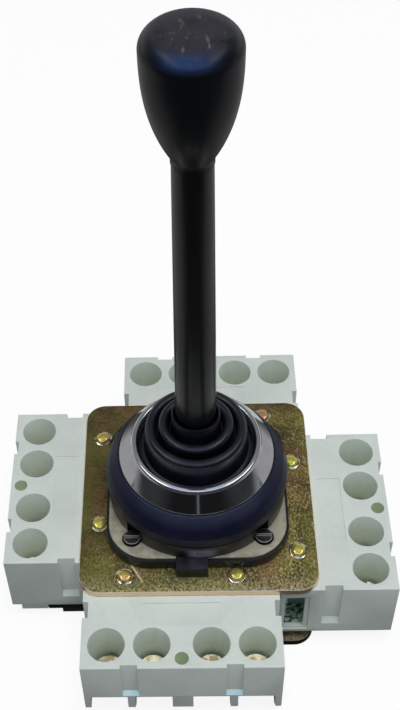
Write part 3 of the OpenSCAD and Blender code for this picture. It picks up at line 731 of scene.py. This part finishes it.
class GeometryTree:
    """A Geometry Nodes tree under construction, with named inputs for its sizes."""

    def __init__(self, name: str) -> None:
        """Starts a tree with one geometry in and one out.

        Args:
            name: The tree's name.
        """
        self.tree = bpy.data.node_groups.new(name, "GeometryNodeTree")
        self.tree.interface.new_socket("Geometry", in_out="INPUT", socket_type="NodeSocketGeometry")
        self.tree.interface.new_socket("Geometry", in_out="OUTPUT", socket_type="NodeSocketGeometry")
        self.entry = self.tree.nodes.new("NodeGroupInput")

    def size(self, name: str, socket_type: str) -> bpy.types.NodeSocket:
        """Adds a named input and returns its socket inside the tree."""
        self.tree.interface.new_socket(name, in_out="INPUT", socket_type=socket_type)
        return self.entry.outputs[name]

    def add(self, kind: str, inputs: dict, settings: dict | None = None) -> bpy.types.Node:
        """Adds one node.

        Args:
            kind: The node's type.
            inputs: Sockets or values by input name.
            settings: Properties of the node, set before its sockets.

        Returns:
            The node.
        """
        node = self.tree.nodes.new(kind)
        for key, value in (settings or {}).items():
            setattr(node, key, value)
        for key, value in inputs.items():
            if isinstance(value, bpy.types.NodeSocket):
                self.tree.links.new(value, node.inputs[key])
            else:
                node.inputs[key].default_value = value
        return node

    def finish(self, geometry: bpy.types.NodeSocket, finish: Finish) -> None:
        """Ends the tree in Realize Instances and Set Material.

        Args:
            geometry: What the tree has made.
            finish: Its finish.
        """
        real = self.add("GeometryNodeRealizeInstances", {"Geometry": geometry})
        dressed = self.add("GeometryNodeSetMaterial", {"Geometry": real.outputs[0], "Material": SHELF.get(finish)})
        out = self.tree.nodes.new("NodeGroupOutput")
        self.tree.links.new(dressed.outputs[0], out.inputs[0])

    def run(self, carrier: bpy.types.Object, values: dict[str, object]) -> bpy.types.Object:
        """Runs the tree on an object and leaves the plain result in it.

        Args:
            carrier: The object that the tree starts from.
            values: The inputs by name.

        Returns:
            The same object, with the result as its mesh.
        """
        modifier = carrier.modifiers.new("tree", "NODES")
        modifier.node_group = self.tree
        sockets = {item.name: item.identifier for item in self.tree.interface.items_tree
                   if item.item_type == "SOCKET" and item.in_out == "INPUT"}
        for name, value in values.items():
            modifier[sockets[name]] = value
        bake(carrier)
        return carrier


def copies_tree(name: str, finish: Finish) -> GeometryTree:
    """A tree that sets a template at every point of a mesh.

    Args:
        name: The tree's name.
        finish: Finish of the copies.

    Returns:
        The tree, with inputs Template and Turn.
    """
    tree = GeometryTree(name)
    template = tree.size("Template", "NodeSocketObject")
    turn = tree.size("Turn", "NodeSocketFloat")
    shape = tree.add("GeometryNodeObjectInfo", {"Object": template})
    index = tree.add("GeometryNodeInputIndex", {})
    angle = tree.add("ShaderNodeMath", {0: index.outputs[0], 1: turn}, {"operation": "MULTIPLY"})
    rotation = tree.add("ShaderNodeCombineXYZ", {"Z": angle.outputs[0]})
    turned = tree.add("FunctionNodeEulerToRotation", {"Euler": rotation.outputs[0]})
    points = tree.add("GeometryNodeInstanceOnPoints", {
        "Points": tree.entry.outputs["Geometry"], "Instance": shape.outputs["Geometry"],
        "Rotation": turned.outputs[0]})
    tree.finish(points.outputs[0], finish)
    return tree


def copies(name: str, template: bpy.types.Object, places: Iterable[Vector], turn: float,
           finish: Finish) -> bpy.types.Object:
    """Sets copies of a template at places.

    Args:
        name: Name of the finished piece.
        template: The shape, about the origin. It is removed.
        places: Where the copies go.
        turn: Turn of each copy against the one before, in radians.
        finish: Finish of the copies.

    Returns:
        One piece with all the copies.
    """
    mesh = bpy.data.meshes.new(name)
    mesh.from_pydata([tuple(place) for place in places], [], [])
    carrier = new_object(name, mesh)
    copies_tree(f"{name}_tree", finish).run(carrier, {"Template": template, "Turn": turn})
    bpy.data.objects.remove(template)
    smooth(carrier.data, 38)
    return carrier


def coil_tree(finish: Finish) -> GeometryTree:
    """A tree that winds a round wire.

    Args:
        finish: Finish of the wire.

    Returns:
        The tree, with inputs Mean Radius, Wire Radius, Rise and Turns.
    """
    tree = GeometryTree("coil_tree")
    mean_r = tree.size("Mean Radius", "NodeSocketFloat")
    wire_r = tree.size("Wire Radius", "NodeSocketFloat")
    rise = tree.size("Rise", "NodeSocketFloat")
    turns = tree.size("Turns", "NodeSocketFloat")
    spiral = tree.add("GeometryNodeCurveSpiral", {
        "Resolution": 32, "Rotations": turns, "Start Radius": mean_r, "End Radius": mean_r, "Height": rise})
    ring = tree.add("GeometryNodeCurvePrimitiveCircle", {"Resolution": 10, "Radius": wire_r})
    wire = tree.add("GeometryNodeCurveToMesh", {
        "Curve": spiral.outputs[0], "Profile Curve": ring.outputs[0], "Fill Caps": True})
    tree.finish(wire.outputs[0], finish)
    return tree


def coil(name: str, mean_r: float, wire_r: float, rise: float, turns: float) -> bpy.types.Object:
    """Winds a spring upwards from the origin.

    Args:
        name: The spring's name.
        mean_r: Radius of the wire's middle.
        wire_r: Radius of the wire.
        rise: Height of the winding.
        turns: Number of turns.

    Returns:
        The spring.
    """
    carrier = new_object(name, bpy.data.meshes.new(name))
    coil_tree(Finish.STEEL).run(carrier, {
        "Mean Radius": mean_r, "Wire Radius": wire_r, "Rise": rise, "Turns": turns})
    smooth(carrier.data, 60)
    return carrier


def box_mm(node: str) -> tuple[Vector, Vector]:
    """Lowest and highest corners of a CAD node, in millimetres."""
    low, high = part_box(node)
    return low / MM, high / MM


def island_middles(node: bpy.types.Object) -> list[Vector]:
    """Finds the middle of each separate solid of a CAD node, seen from above.

    Args:
        node: The CAD node.

    Returns:
        The middles, on the ground plane.
    """
    form = bmesh.new()
    form.from_mesh(node.data)
    bmesh.ops.remove_doubles(form, verts=form.verts, dist=1e-6)
    middles: list[Vector] = []
    seen: set[int] = set()
    for vert in form.verts:
        if vert.index in seen:
            continue
        island, stack = [], [vert]
        seen.add(vert.index)
        while stack:
            here = stack.pop()
            island.append(here.co.copy())
            for edge in here.link_edges:
                other = edge.other_vert(here)
                if other.index not in seen:
                    seen.add(other.index)
                    stack.append(other)
        xs = [point.x for point in island]
        ys = [point.y for point in island]
        middles.append(Vector(((min(xs) + max(xs)) / 2, (min(ys) + max(ys)) / 2, 0.0)))
    form.free()
    return middles


def face_up(piece: bpy.types.Object, finish: Finish, chosen: Callable[[bpy.types.MeshPolygon], bool]) -> None:
    """Gives some faces of a finished piece a second finish.

    Args:
        piece: The piece.
        finish: The second finish.
        chosen: Tells which faces take it.
    """
    piece.data.materials.append(SHELF.get(finish))
    slot = len(piece.data.materials) - 1
    for face in piece.data.polygons:
        if chosen(face):
            face.material_index = slot


# ---- Sub-assemblies ----


@dataclass
class Assembly:
    """A part of the switch that is built and reported as one."""

    nodes: dict[str, bpy.types.Object]
    pieces: list[str] = field(default_factory=list)

    def seat(self, piece: bpy.types.Object, slot: str, body: str = "base") -> None:
        """Puts a finished piece on the body that it rides on, and notes it.

        Args:
            piece: The piece.
            slot: The record's material slot. Not used.
            body: The body that it rides on.
        """
        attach(piece, body)
        self.pieces.append(piece.name)

    def bend(self, piece: bpy.types.Object, slot: str, bodies: tuple[str, str],
             ends: tuple[Vector, Vector]) -> None:
        """Bakes a finished soft piece's place into its mesh, and notes it.

        Args:
            piece: The piece.
            slot: The record's material slot. Not used.
            bodies: The two bodies. Not used.
            ends: Where the bend starts and ends. Not used.
        """
        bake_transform(piece)
        self.pieces.append(piece.name)

    def turned(self, node: str, name: str, outline: Profile, material: bpy.types.Material, slot: str,
               body: str = "base", segments: int = 160) -> None:
        """Turns a piece that stands for a CAD node.

        Args:
            node: The CAD node.
            name: The piece's name.
            outline: Its outline.
            material: Its material.
            slot: The record's material slot.
            body: The body that it rides on.
            segments: Straight pieces round the axis.
        """
        piece = lathed(name, outline, segments)
        piece.data.materials.append(material)
        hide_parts(node)
        self.seat(piece, slot, body)

    def edged(self, node: str, width_mm: float, finish: Finish, slot: str, body: str = "base",
              segments: int = 2) -> bpy.types.Object:
        """Rounds a CAD node's edges and dresses the copy.

        Args:
            node: The CAD node.
            width_mm: Width of the rounded edge.
            finish: The copy's finish.
            slot: The record's material slot.
            body: The body that it rides on.
            segments: Steps across the rounded edge.

        Returns:
            The copy.
        """
        piece = SHELF.dress(edged_copy(self.nodes, node, width_mm, segments), finish)
        self.seat(piece, slot, body)
        return piece


@dataclass
class Plates(Assembly):
    """The two square plates and the rivets between them."""

    edge_mm: float = 0.42
    dome_r: float = 1.4
    dome_h: float = 0.78
    lip_r: float = 1.66

    def build(self) -> None:
        """Builds and dresses the plates and rivets."""
        for node, finish in (("top_plate", Finish.CHROMATE), ("bottom_plate", Finish.DARK_CHROMATE)):
            self.edged(node, self.edge_mm, finish, "yellow_zinc", segments=3)
        self.rivets()

    def rivets(self) -> None:
        """Replaces the rivets by domes with a rolled rim, over plain shanks."""
        low, high = box_mm("rivets")
        deck = box_mm("top_plate")[1].z
        places = island_middles(self.nodes["rivets"])
        dome: Profile = [(0.0, deck + self.dome_h)]
        for step in range(1, 8):
            angle = math.pi / 2 * step / 7
            dome.append((self.dome_r * math.sin(angle) ** 0.75, deck + self.dome_h * math.cos(angle) ** 0.8))
        dome[-1] = (self.dome_r, deck + 0.02)
        lip = self.lip_r
        rim = [(self.dome_r + 0.04, deck + 0.1), (lip - 0.04, deck + 0.12), (lip + 0.06, deck + 0.1),
               (lip + 0.2, deck - 0.02), (1.0, deck - 0.02), (1.0, low.z), (0.0, low.z)]
        template = lathed("rivet_shape", dome + rim, 28)
        rivets = copies("rivet_heads", template, places, 0.7, Finish.RIVET)

        def is_lip(face: bpy.types.MeshPolygon) -> bool:
            """Tells whether a face lies on a rolled rim."""
            reach = min((Vector((face.center.x, face.center.y, 0.0)) - place).length for place in places)
            return reach > (self.dome_r + 0.03) * MM

        face_up(rivets, Finish.RIVET_LIP, is_lip)
        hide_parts("rivets")
        self.seat(rivets, "brass")


@dataclass
class ContactBlocks(Assembly):
    """The four contact blocks with their terminals, plungers and springs."""

    housing_edge_mm: float = 0.22
    well_r: float = 3.5
    pilot_r: float = 1.3
    pilot_out: float = 2.88
    marker_z: float = 19.2
    ledge_z: tuple[float, float] = (7.0, 11.0)
    small_edge_mm: float = 0.1
    wire_mm: float = 0.25
    turns: float = 4.0

    def build(self) -> None:
        """Builds and dresses every block."""
        for side in SIDES:
            self.shell(side)
            self.terminals(side)
            self.carriage(side)

    def shell(self, side: str) -> None:
        """Rounds and dresses a block's housing and cover.

        Args:
            side: The block's side.
        """
        housing = self.edged(f"housing_{side}", self.housing_edge_mm, Finish.BLOCK, "block_plastic")
        self.edged(f"block_base_{side}", self.housing_edge_mm, Finish.BLACK, "black_plastic")
        self.line_wells(housing, side)

    def line_wells(self, housing: bpy.types.Object, side: str) -> None:
        """Gives the walls of the wells a paler copy of the block plastic as painted light, the marker hole its
        greenish plastic, and the groove feet a pale blue painted reflection.

        Args:
            housing: The housing's piece.
            side: The block's side.
        """
        wells = island_middles(self.nodes[f"terminal_screws_{side}"])
        middle = sum(wells, Vector()) / len(wells)
        axis = max((Vector((1, 0, 0)), Vector((0, 1, 0))), key=lambda way: abs(middle.dot(way)))
        outwards = axis * math.copysign(1.0, middle.dot(axis))
        marker = middle + outwards * self.pilot_out * MM

        def in_well(face: bpy.types.MeshPolygon) -> bool:
            """Tells whether a face is a wall of a well."""
            here = Vector((face.center.x, face.center.y, 0.0))
            reach = min((here - well).length for well in wells)
            return abs(face.normal.z) < 0.5 and reach < (self.well_r + 0.05) * MM

        def in_marker(face: bpy.types.MeshPolygon) -> bool:
            """Tells whether a face belongs to the inside of the marker hole."""
            here = Vector((face.center.x, face.center.y, 0.0))
            sunk = face.normal.z < 0.5 or face.center.z < self.marker_z * MM
            return sunk and (here - marker).length < (self.pilot_r + 0.05) * MM

        def is_ledge(face: bpy.types.MeshPolygon) -> bool:
            """Tells whether a face is the sloping foot of an outer groove."""
            return face.normal.z > 0.5 and self.ledge_z[0] < face.center.z / MM < self.ledge_z[1] and (
                face.center.dot(outwards) > middle.dot(outwards) + self.well_r * MM)

        # Painted light on the well walls.
        face_up(housing, Finish.WELL_PAINTED_LIGHT, in_well)
        face_up(housing, Finish.PILOT, in_marker)
        # Painted reflection of the sky on the groove feet.
        face_up(housing, Finish.LEDGE_PAINTED_GLINT, is_ledge)

    def terminals(self, side: str) -> None:
        """Rounds and dresses the screws, clamps and strips.

        Args:
            side: The block's side.
        """
        for part, finish, slot in (("terminal_screws", Finish.BRASS, "brass"), ("clamps", Finish.CLAMP, "steel")):
            self.edged(f"{part}_{side}", self.small_edge_mm, finish, slot)
        SHELF.dress(self.nodes[f"fixed_contacts_{side}"], Finish.CONTACT)

    def carriage(self, side: str) -> None:
        """Dresses a plunger and its bridge, and winds its spring.

        Args:
            side: The block's side.
        """
        body = f"plunger_{side}"
        self.edged(body, self.small_edge_mm, Finish.NYLON, "nylon", body)
        SHELF.dress(self.nodes[f"bridge_{side}"], Finish.BRASS)
        low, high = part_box(f"plunger_spring_{side}")
        middle = (low + high) / 2
        along = Vector((middle.x, middle.y, 0)).normalized()
        length = abs((high - low).dot(along))
        wire = self.wire_mm * MM
        across = (high.z - low.z) / 2 - wire
        turn = Vector((0, 0, 1)).rotation_difference(-along).to_matrix().to_4x4()
        start = middle + along * (length / 2 - wire)
        spring = coil(f"plunger_coil_{side}", across, wire, length - 2 * wire, self.turns)
        spring.data.transform(Matrix.Translation(start) @ turn)
        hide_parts(f"plunger_spring_{side}")
        reach = along * length / 2
        self.bend(spring, "steel", ("base", body), (middle + reach, middle - reach))


@dataclass
class Head(Assembly):
    """The flange, washer, collar, chrome ring and head screws."""

    sheen_drop_mm: float = 9.0
    collar_bore_r: float = 11.2
    collar_top_r: float = 15.3
    lip_in: float = 2.7
    bore_in: float = 1.25

    def build(self) -> None:
        """Builds and dresses the head."""
        body = edged_copy(self.nodes, "head_body", 0.35, 3)
        # Height of the painted sheen on the drum's front.
        sheen_z = (box_mm("bezel")[0].z - self.sheen_drop_mm) * MM
        body.data.materials.append(HeadPlastic("head_plastic", sheen_z).build())
        self.seat(body, "black_plastic")
        for node, edge, finish, slot in (("panel_washer", 0.12, Finish.GREY_ZINC, "grey_zinc"),
                                         ("head_screws", 0.2, Finish.DARK_STEEL, "steel"),
                                         ("gate_plate", 0.15, Finish.NYLON, "nylon")):
            self.edged(node, edge, finish, slot)
        self.collar()
        self.bezel()

    def collar(self) -> None:
        """Turns the rubber collar with soft edges."""
        low, high = box_mm("collar")
        r = high.x
        inner = self.collar_bore_r
        outline = filleted([
            (inner, low.z), (r - 0.15, low.z), (r, low.z + 0.5), (r, low.z + 2.6),
            (r - 0.8, low.z + 4.3), (self.collar_top_r, high.z), (inner, high.z)],
            [0, 0.45, 0.3, 1.2, 0.9, 0.3, 0])
        rubber = CollarRubber("collar_rubber", low.z * MM, high.z * MM).build()
        self.turned("collar", "collar_ring", outline, rubber, "blue_black_rubber")

    def bezel(self) -> None:
        """Turns the chrome ring with its rolled lip and foot."""
        low, high = box_mm("bezel")
        foot_r = high.x
        lip_r = foot_r - self.lip_in
        bore_r = lip_r - self.bore_in
        outline = filleted([
            (bore_r + 0.05, low.z), (foot_r - 0.15, low.z), (foot_r, low.z + 0.35),
            (lip_r + 0.36, high.z - 0.75), (lip_r + 0.1, high.z), (lip_r - 0.75, high.z),
            (bore_r + 0.15, high.z - 0.5), (bore_r - 0.1, high.z - 1.6), (bore_r - 0.1, high.z - 2.2),
            (bore_r + 0.05, high.z - 2.2)],
            [0, 0.25, 0.25, 0.35, 0.55, 0.35, 0.3, 0, 0, 0])
        self.turned("bezel", "bezel_ring", outline, SHELF.get(Finish.CHROME), "chrome")


@dataclass
class Bellows(Assembly):
    """The rubber bellows: an outer wall and folds built in sectors."""

    thickness: float = 0.5
    wall_r: float = 9.4
    crest_r: tuple[float, float] = (8.7, 6.2)
    crest_h: tuple[float, float] = (5.6, 6.8)
    valley_r: tuple[float, float] = (7.45, 5.0)
    valley_h: tuple[float, float] = (4.1, 5.35)
    round_r: tuple[float, float] = (0.72, 0.7)
    grip_r: float = 4.33
    sectors: int = 12
    segments_each: int = 8

    def build(self) -> None:
        """Builds the wall and the folds."""
        low, high = box_mm("boot")
        wall, folds = self.middle_line(low.z, high.z, high.x)
        outer = SHELF.dress(lathed("bellows_wall", self.thickened(wall), 96), Finish.BELLOWS)
        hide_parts("boot")
        top = max(z for _, z in wall)
        ends = (Vector((0, 0, (low.z + 1.6) * MM)), Vector((0, 0, (top - 0.75) * MM)))
        self.bend(outer, "rubber", ("base", "gimbal"), ends)
        self.fold_sectors(self.thickened(folds))

    def middle_line(self, bottom: float, top: float, bead_r: float) -> tuple[Profile, Profile]:
        """Middle line of the rubber, split on top of the outer crest.

        Args:
            bottom: Height of the bead's underside.
            top: Height of the grip's end.
            bead_r: Outer radius of the bead.

        Returns:
            The line up to the crest, and the line from there to the lever.
        """
        crest = [(self.crest_r[i], bottom + self.crest_h[i]) for i in (0, 1)]
        valley = [(self.valley_r[i], bottom + self.valley_h[i]) for i in (0, 1)]
        big = self.round_r[0]
        wall = [(bead_r - 0.3, bottom + 0.3), (self.wall_r + 0.45, bottom + 0.55),
                (self.wall_r + 0.3, bottom + 1.6), (self.wall_r + 0.12, bottom + 3.4)]
        wall += self.arc(crest[0], big, 0, 90)
        folds = self.arc(crest[0], big, 90, 180)
        folds += self.arc(valley[0], (crest[0][0] - big - valley[0][0]), 360, 180)
        folds += self.arc(crest[1], self.round_r[1], 0, 180)
        folds += self.arc(valley[1], (crest[1][0] - self.round_r[1] - valley[1][0]), 360, 190)
        folds += [(self.grip_r + 0.08, bottom + 7.4), (self.grip_r, top - self.thickness / 2)]
        return wall, folds

    @staticmethod
    def arc(centre: tuple[float, float], radius: float, start: float, end: float, steps: int = 9) -> Profile:
        """Points on an arc, in degrees from the outward direction."""
        angles = [math.radians(start + (end - start) * step / steps) for step in range(steps + 1)]
        return [(centre[0] + radius * math.cos(a), centre[1] + radius * math.sin(a)) for a in angles]

    def thickened(self, line: Profile) -> Profile:
        """Gives a line the rubber's thickness.

        Args:
            line: The middle line.

        Returns:
            The closed outline.
        """
        half = self.thickness / 2
        sides: tuple[Profile, Profile] = ([], [])
        for index, point in enumerate(line):
            before = Vector(line[max(index - 1, 0)])
            after = Vector(line[min(index + 1, len(line) - 1)])
            run = (after - before).normalized()
            normal = Vector((-run.y, run.x))
            for side, sign in zip(sides, (1, -1)):
                side.append((point[0] + sign * half * normal.x, point[1] + sign * half * normal.y))
        return sides[0] + sides[1][::-1]

    def fold_sectors(self, outline: Profile) -> None:
        """Builds the folds in sectors, one piece for each.

        Args:
            outline: Closed outline of the folds.
        """
        span = 2 * math.pi / self.sectors
        reach = math.cos(span / 2)
        seam_r = self.crest_r[0]
        for number in range(self.sectors):
            piece = self.sector(f"bellows_fold_{number + 1:02d}", outline, number * span, span)
            SHELF.dress(piece, Finish.BELLOWS)
            middle = (number + 0.5) * span
            along = Vector((math.cos(middle), math.sin(middle), 0))
            ends = (along * seam_r * reach * MM, along * (self.grip_r + 0.3) * MM)
            self.bend(piece, "rubber", ("gimbal", "lever"), ends)

    def sector(self, name: str, outline: Profile, start: float, span: float) -> bpy.types.Object:
        """Turns the outline through one sector and closes its ends.

        Args:
            name: The sector's name.
            outline: The closed outline.
            start: The angle at which it starts.
            span: The angle that it spans.

        Returns:
            The sector.
        """
        count = len(outline)
        points, normals, faces = [], [], []
        for step in range(self.segments_each + 1):
            angle = start + span * step / self.segments_each
            turn = Matrix.Rotation(angle, 3, "Z")
            for index, (r, z) in enumerate(outline):
                before, after = outline[index - 1], outline[(index + 1) % count]
                run = Vector((after[0] - before[0], 0, after[1] - before[1])).normalized()
                points.append(tuple(turn @ Vector((r * MM, 0, z * MM))))
                normals.append(turn @ Vector((-run.z, 0, run.x)))
        for step in range(self.segments_each):
            for index in range(count):
                a, b = step * count + index, step * count + (index + 1) % count
                faces.append((a, b, b + count, a + count))
        faces.append(tuple(range(count))[::-1])
        faces.append(tuple(range(self.segments_each * count, (self.segments_each + 1) * count)))
        form = bmesh.new()
        verts = [form.verts.new(point) for point in points]
        for face in faces:
            form.faces.new([verts[i] for i in face])
        bmesh.ops.recalc_face_normals(form, faces=form.faces)
        mesh = bpy.data.meshes.new(name)
        form.to_mesh(mesh)
        form.free()
        mesh.shade_smooth()
        mesh.normals_split_custom_set_from_vertices(normals)
        return new_object(name, mesh)


@dataclass
class Lever(Assembly):
    """The lever with its sleeve and knob, its hub and gimbal, and the foot cam."""

    rod_r: float = 2.6
    sleeve_top_r: float = 3.3
    neck_r: float = 3.42
    neck_h: float = 1.3
    crown_h: float = 3.4
    fullness: float = 2.55
    crown_power: float = 0.62
    bore_h: float = 9.0
    wire_mm: float = 0.4
    half_turns: float = 2.5

    def build(self) -> None:
        """Builds and dresses the lever."""
        self.sleeve()
        self.knob()
        self.running_gear()
        self.centring_spring()

    def sleeve(self) -> None:
        """Turns the tapered sleeve."""
        low, high = box_mm("sleeve")
        top = high.z + 0.4
        corners = [(self.rod_r, low.z), (high.x, low.z), (self.sleeve_top_r, top), (self.rod_r, top)]
        self.on_lever("sleeve", filleted(corners, [0, 0.3, 0, 0]), SHELF.get(Finish.SLEEVE))

    def knob(self) -> None:
        """Turns the knob: straight neck, long belly and shallow crown."""
        low, high = box_mm("knob")
        belly_r, neck_r = high.x, self.neck_r
        belly_h = high.z - low.z - self.crown_h - self.neck_h
        outline: Profile = [(self.rod_r, low.z), (neck_r - 0.12, low.z), (neck_r, low.z + 0.12)]
        for step in range(33):
            t = step / 32
            r = neck_r + (belly_r - neck_r) * (1 - (1 - t) ** self.fullness)
            outline.append((r, low.z + self.neck_h + belly_h * t))
        for step in range(1, 19):
            a = math.pi / 2 * step / 18
            z = high.z - self.crown_h * (1 - math.sin(a))
            outline.append((belly_r * math.cos(a) ** self.crown_power, z))
        outline[-1] = (0.0, high.z)
        outline += [(0.0, high.z - self.bore_h), (self.rod_r, high.z - self.bore_h)]
        self.on_lever("knob", outline, HandledPlastic("knob_plastic", high.z * MM).build())

    def on_lever(self, node: str, outline: Profile, material: bpy.types.Material) -> None:
        """Turns a black piece that rides on the lever."""
        self.turned(node, f"lever_{node}", outline, material, "black_plastic", "lever", 144)

    def running_gear(self) -> None:
        """Dresses the rod, hub, pins, gimbal ring, cam and spring seat."""
        for finish, names in ((Finish.STEEL, ("rod", "hub", "lever_pin", "gimbal_ring", "gimbal_pins")),
                              (Finish.NYLON, ("foot_cam", "spring_seat"))):
            for node in names:
                SHELF.dress(self.nodes[node], finish)

    def centring_spring(self) -> None:
        """Winds the centring spring in two halves, one above the other."""
        low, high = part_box("return_spring")
        wire = self.wire_mm * MM
        half = (high.z - low.z) / 2 - wire
        for name, foot, turn, bodies in (("low", low.z + wire, 0.0, ("base", "gimbal")),
                                         ("top", low.z + wire + half, math.pi, ("gimbal", "lever"))):
            spring = coil(f"centring_coil_{name}", high.x - wire, wire, half, self.half_turns)
            spring.data.transform(Matrix.Translation((0, 0, foot)) @ Matrix.Rotation(turn, 4, "Z"))
            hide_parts("return_spring")
            self.bend(spring, "steel", bodies, (Vector((0, 0, foot)), Vector((0, 0, foot + half))))


# ---- Stage ----


@dataclass(frozen=True)
class Stage:
    """Floor, light and camera."""

    camera_place: tuple[float, float, float] = (-0.00111, -0.14332, 0.22225)
    camera_turn: tuple[float, float, float] = (0.720, -0.0575, 0.052)
    lens_mm: float = 61.72
    shift: tuple[float, float] = (0.0743, 0.0215)
    sky: float = 0.2
    bounce: Colour = linear(186, 188, 190)
    floor_colour: Colour = linear(240, 240, 242)
    floor_gloss: float = 0.4
    front_gloss: float = 0.15
    white_share: float = 0.9
    dark_room: float = 0.012
    patch_strengths: tuple[float, ...] = (0.8, 0.5, 0.22, 1.8, 4.0, 0.28, 0.03, 0.14)
    room_tint: Colour = (0.93, 0.97, 1.0)
    window_tint: Colour = (0.46, 0.64, 1.0)
    sky_tint: Colour = (0.9, 0.97, 1.0)

    def build(self) -> None:
        """Sets the whole stage."""
        self.camera()
        self.floor()
        self.world()
        self.lamp("key", (0.06, -0.12, 1.0), 0.45, 8.6)
        bpy.context.scene.view_settings.view_transform = "Standard"

    def camera(self) -> None:
        """Places the camera, which looks down on the front with a slight roll."""
        data = bpy.data.cameras.new("camera")
        data.lens = self.lens_mm
        data.sensor_width = 36.0
        data.shift_x, data.shift_y = self.shift
        data.clip_start = 0.01
        camera = bpy.data.objects.new("camera", data)
        tilt, roll, yaw = self.camera_turn
        turn = Matrix.Rotation(yaw, 4, "Z") @ Matrix.Rotation(tilt, 4, "X") @ Matrix.Rotation(roll, 4, "Z")
        camera.matrix_world = Matrix.Translation(self.camera_place) @ turn
        bpy.context.scene.collection.objects.link(camera)
        bpy.context.scene.camera = camera

    def floor(self) -> None:
        """Lays a wide pale floor that keeps a soft shadow."""
        mesh = bpy.data.meshes.new("floor")
        half, level = 3.0, -0.0002
        mesh.from_pydata([(-half, -half, level), (half, -half, level), (half, half, level), (-half, half, level)],
                         [], [(0, 1, 2, 3)])
        floor = new_object("floor", mesh)
        graph = material_graph("floor_white")
        seen = graph.add("ShaderNodeLightPath", output="Is Camera Ray")
        mirrored = graph.add("ShaderNodeLightPath", output="Is Glossy Ray")
        passed = graph.add("ShaderNodeLightPath", output="Is Transmission Ray")
        matt = graph.add("ShaderNodeBsdfDiffuse", None, {"Color": graph.mix(seen, self.bounce, self.floor_colour)})
        flanks = abs(graph.axis("X")).step(0.03, 0.08) * graph.axis("Y").step(-0.1, -0.02)
        spread = flanks * (1 - self.front_gloss) + self.front_gloss
        glow = graph.add("ShaderNodeEmission", None, {
            "Color": (1.0, 1.0, 1.0), "Strength": seen + (mirrored + passed) * spread * self.floor_gloss})
        share = seen * self.white_share + mirrored + passed
        graph.end(graph.add("ShaderNodeMixShader", None, {0: share, 1: matt, 2: glow}))
        floor.data.materials.append(graph.owner)

    def world(self) -> None:
        """Sets a plain sky, which gloss sees as a dark room with a bright rear, ceiling and front window."""
        world = bpy.data.worlds.new("studio")
        bpy.context.scene.world = world
        graph = Graph(world, "Generated")
        x, y, z = graph.axis("X"), graph.axis("Y"), graph.axis("Z")
        rear = y.step(0.1, 0.6) * z.step(0.45, 0.2)
        ceiling = z.step(0.78, 0.95)
        upper_rear = y.step(-0.1, 0.3) * z.step(0.25, 0.42)
        window = y.step(-0.3, -0.6) * z.step(0.42, 0.56) * z.step(0.93, 0.78)
        sides = abs(abs(x) - 0.58).step(0.12, 0.06) * z.step(0.62, 0.74) * y.step(0.35, 0.2)
        skyline = z.step(0.07, -0.01)
        wings = abs(x).step(0.45, 0.85) * z.step(0.4, 0.25)
        slit = abs(x - 0.02).step(0.035, 0.012) * y.step(-0.7, -0.8) * z.step(0.45, 0.3)
        level = self.dark_room
        for patch, strength in zip((rear, ceiling, upper_rear, window, sides, skyline, wings, slit),
                                   self.patch_strengths):
            level = level + patch * strength
        tint = graph.mix(window, self.room_tint, self.window_tint)
        seen = graph.add("ShaderNodeLightPath", output="Is Camera Ray")
        mirrored = graph.add("ShaderNodeLightPath", output="Is Glossy Ray")
        gloss = graph.add("ShaderNodeBackground", None, {"Color": tint, "Strength": level})
        plain = graph.add("ShaderNodeBackground", None, {"Color": self.sky_tint, "Strength": self.sky})
        white = graph.add("ShaderNodeBackground", None, {"Color": (1.0, 1.0, 1.0), "Strength": 1.0})
        lit = graph.add("ShaderNodeMixShader", None, {0: mirrored, 1: plain, 2: gloss})
        graph.end(graph.add("ShaderNodeMixShader", None, {0: seen, 1: lit, 2: white}))

    @staticmethod
    def lamp(name: str, place: tuple[float, float, float], side: float, power: float) -> None:
        """Hangs a square soft lamp that faces the switch.

        Args:
            name: The lamp's name.
            place: Its middle.
            side: Its side, in metres.
            power: Its power, in watts.
        """
        data = bpy.data.lights.new(name, "AREA")
        data.shape = "SQUARE"
        data.size = side
        data.energy = power
        lamp = bpy.data.objects.new(name, data)
        lamp.visible_glossy = False
        turn = Vector((0, 0, -1)).rotation_difference(Vector((0, 0, 0.03)) - Vector(place))
        lamp.matrix_world = Matrix.Translation(place) @ turn.to_matrix().to_4x4()
        bpy.context.scene.collection.objects.link(lamp)


def main() -> None:
    """Builds every sub-assembly in order and reports its pieces."""
    logging.basicConfig(level=logging.INFO, format="%(name)s: %(message)s")
    nodes = frame["nodes"]
    Stage().build()
    for kind in (Plates, ContactBlocks, Head, Bellows, Lever):
        part = kind(nodes)
        part.build()
        LOG.info("%s: %s", type(part).__name__, ", ".join(part.pieces))


if __name__ == "__main__":
    main()
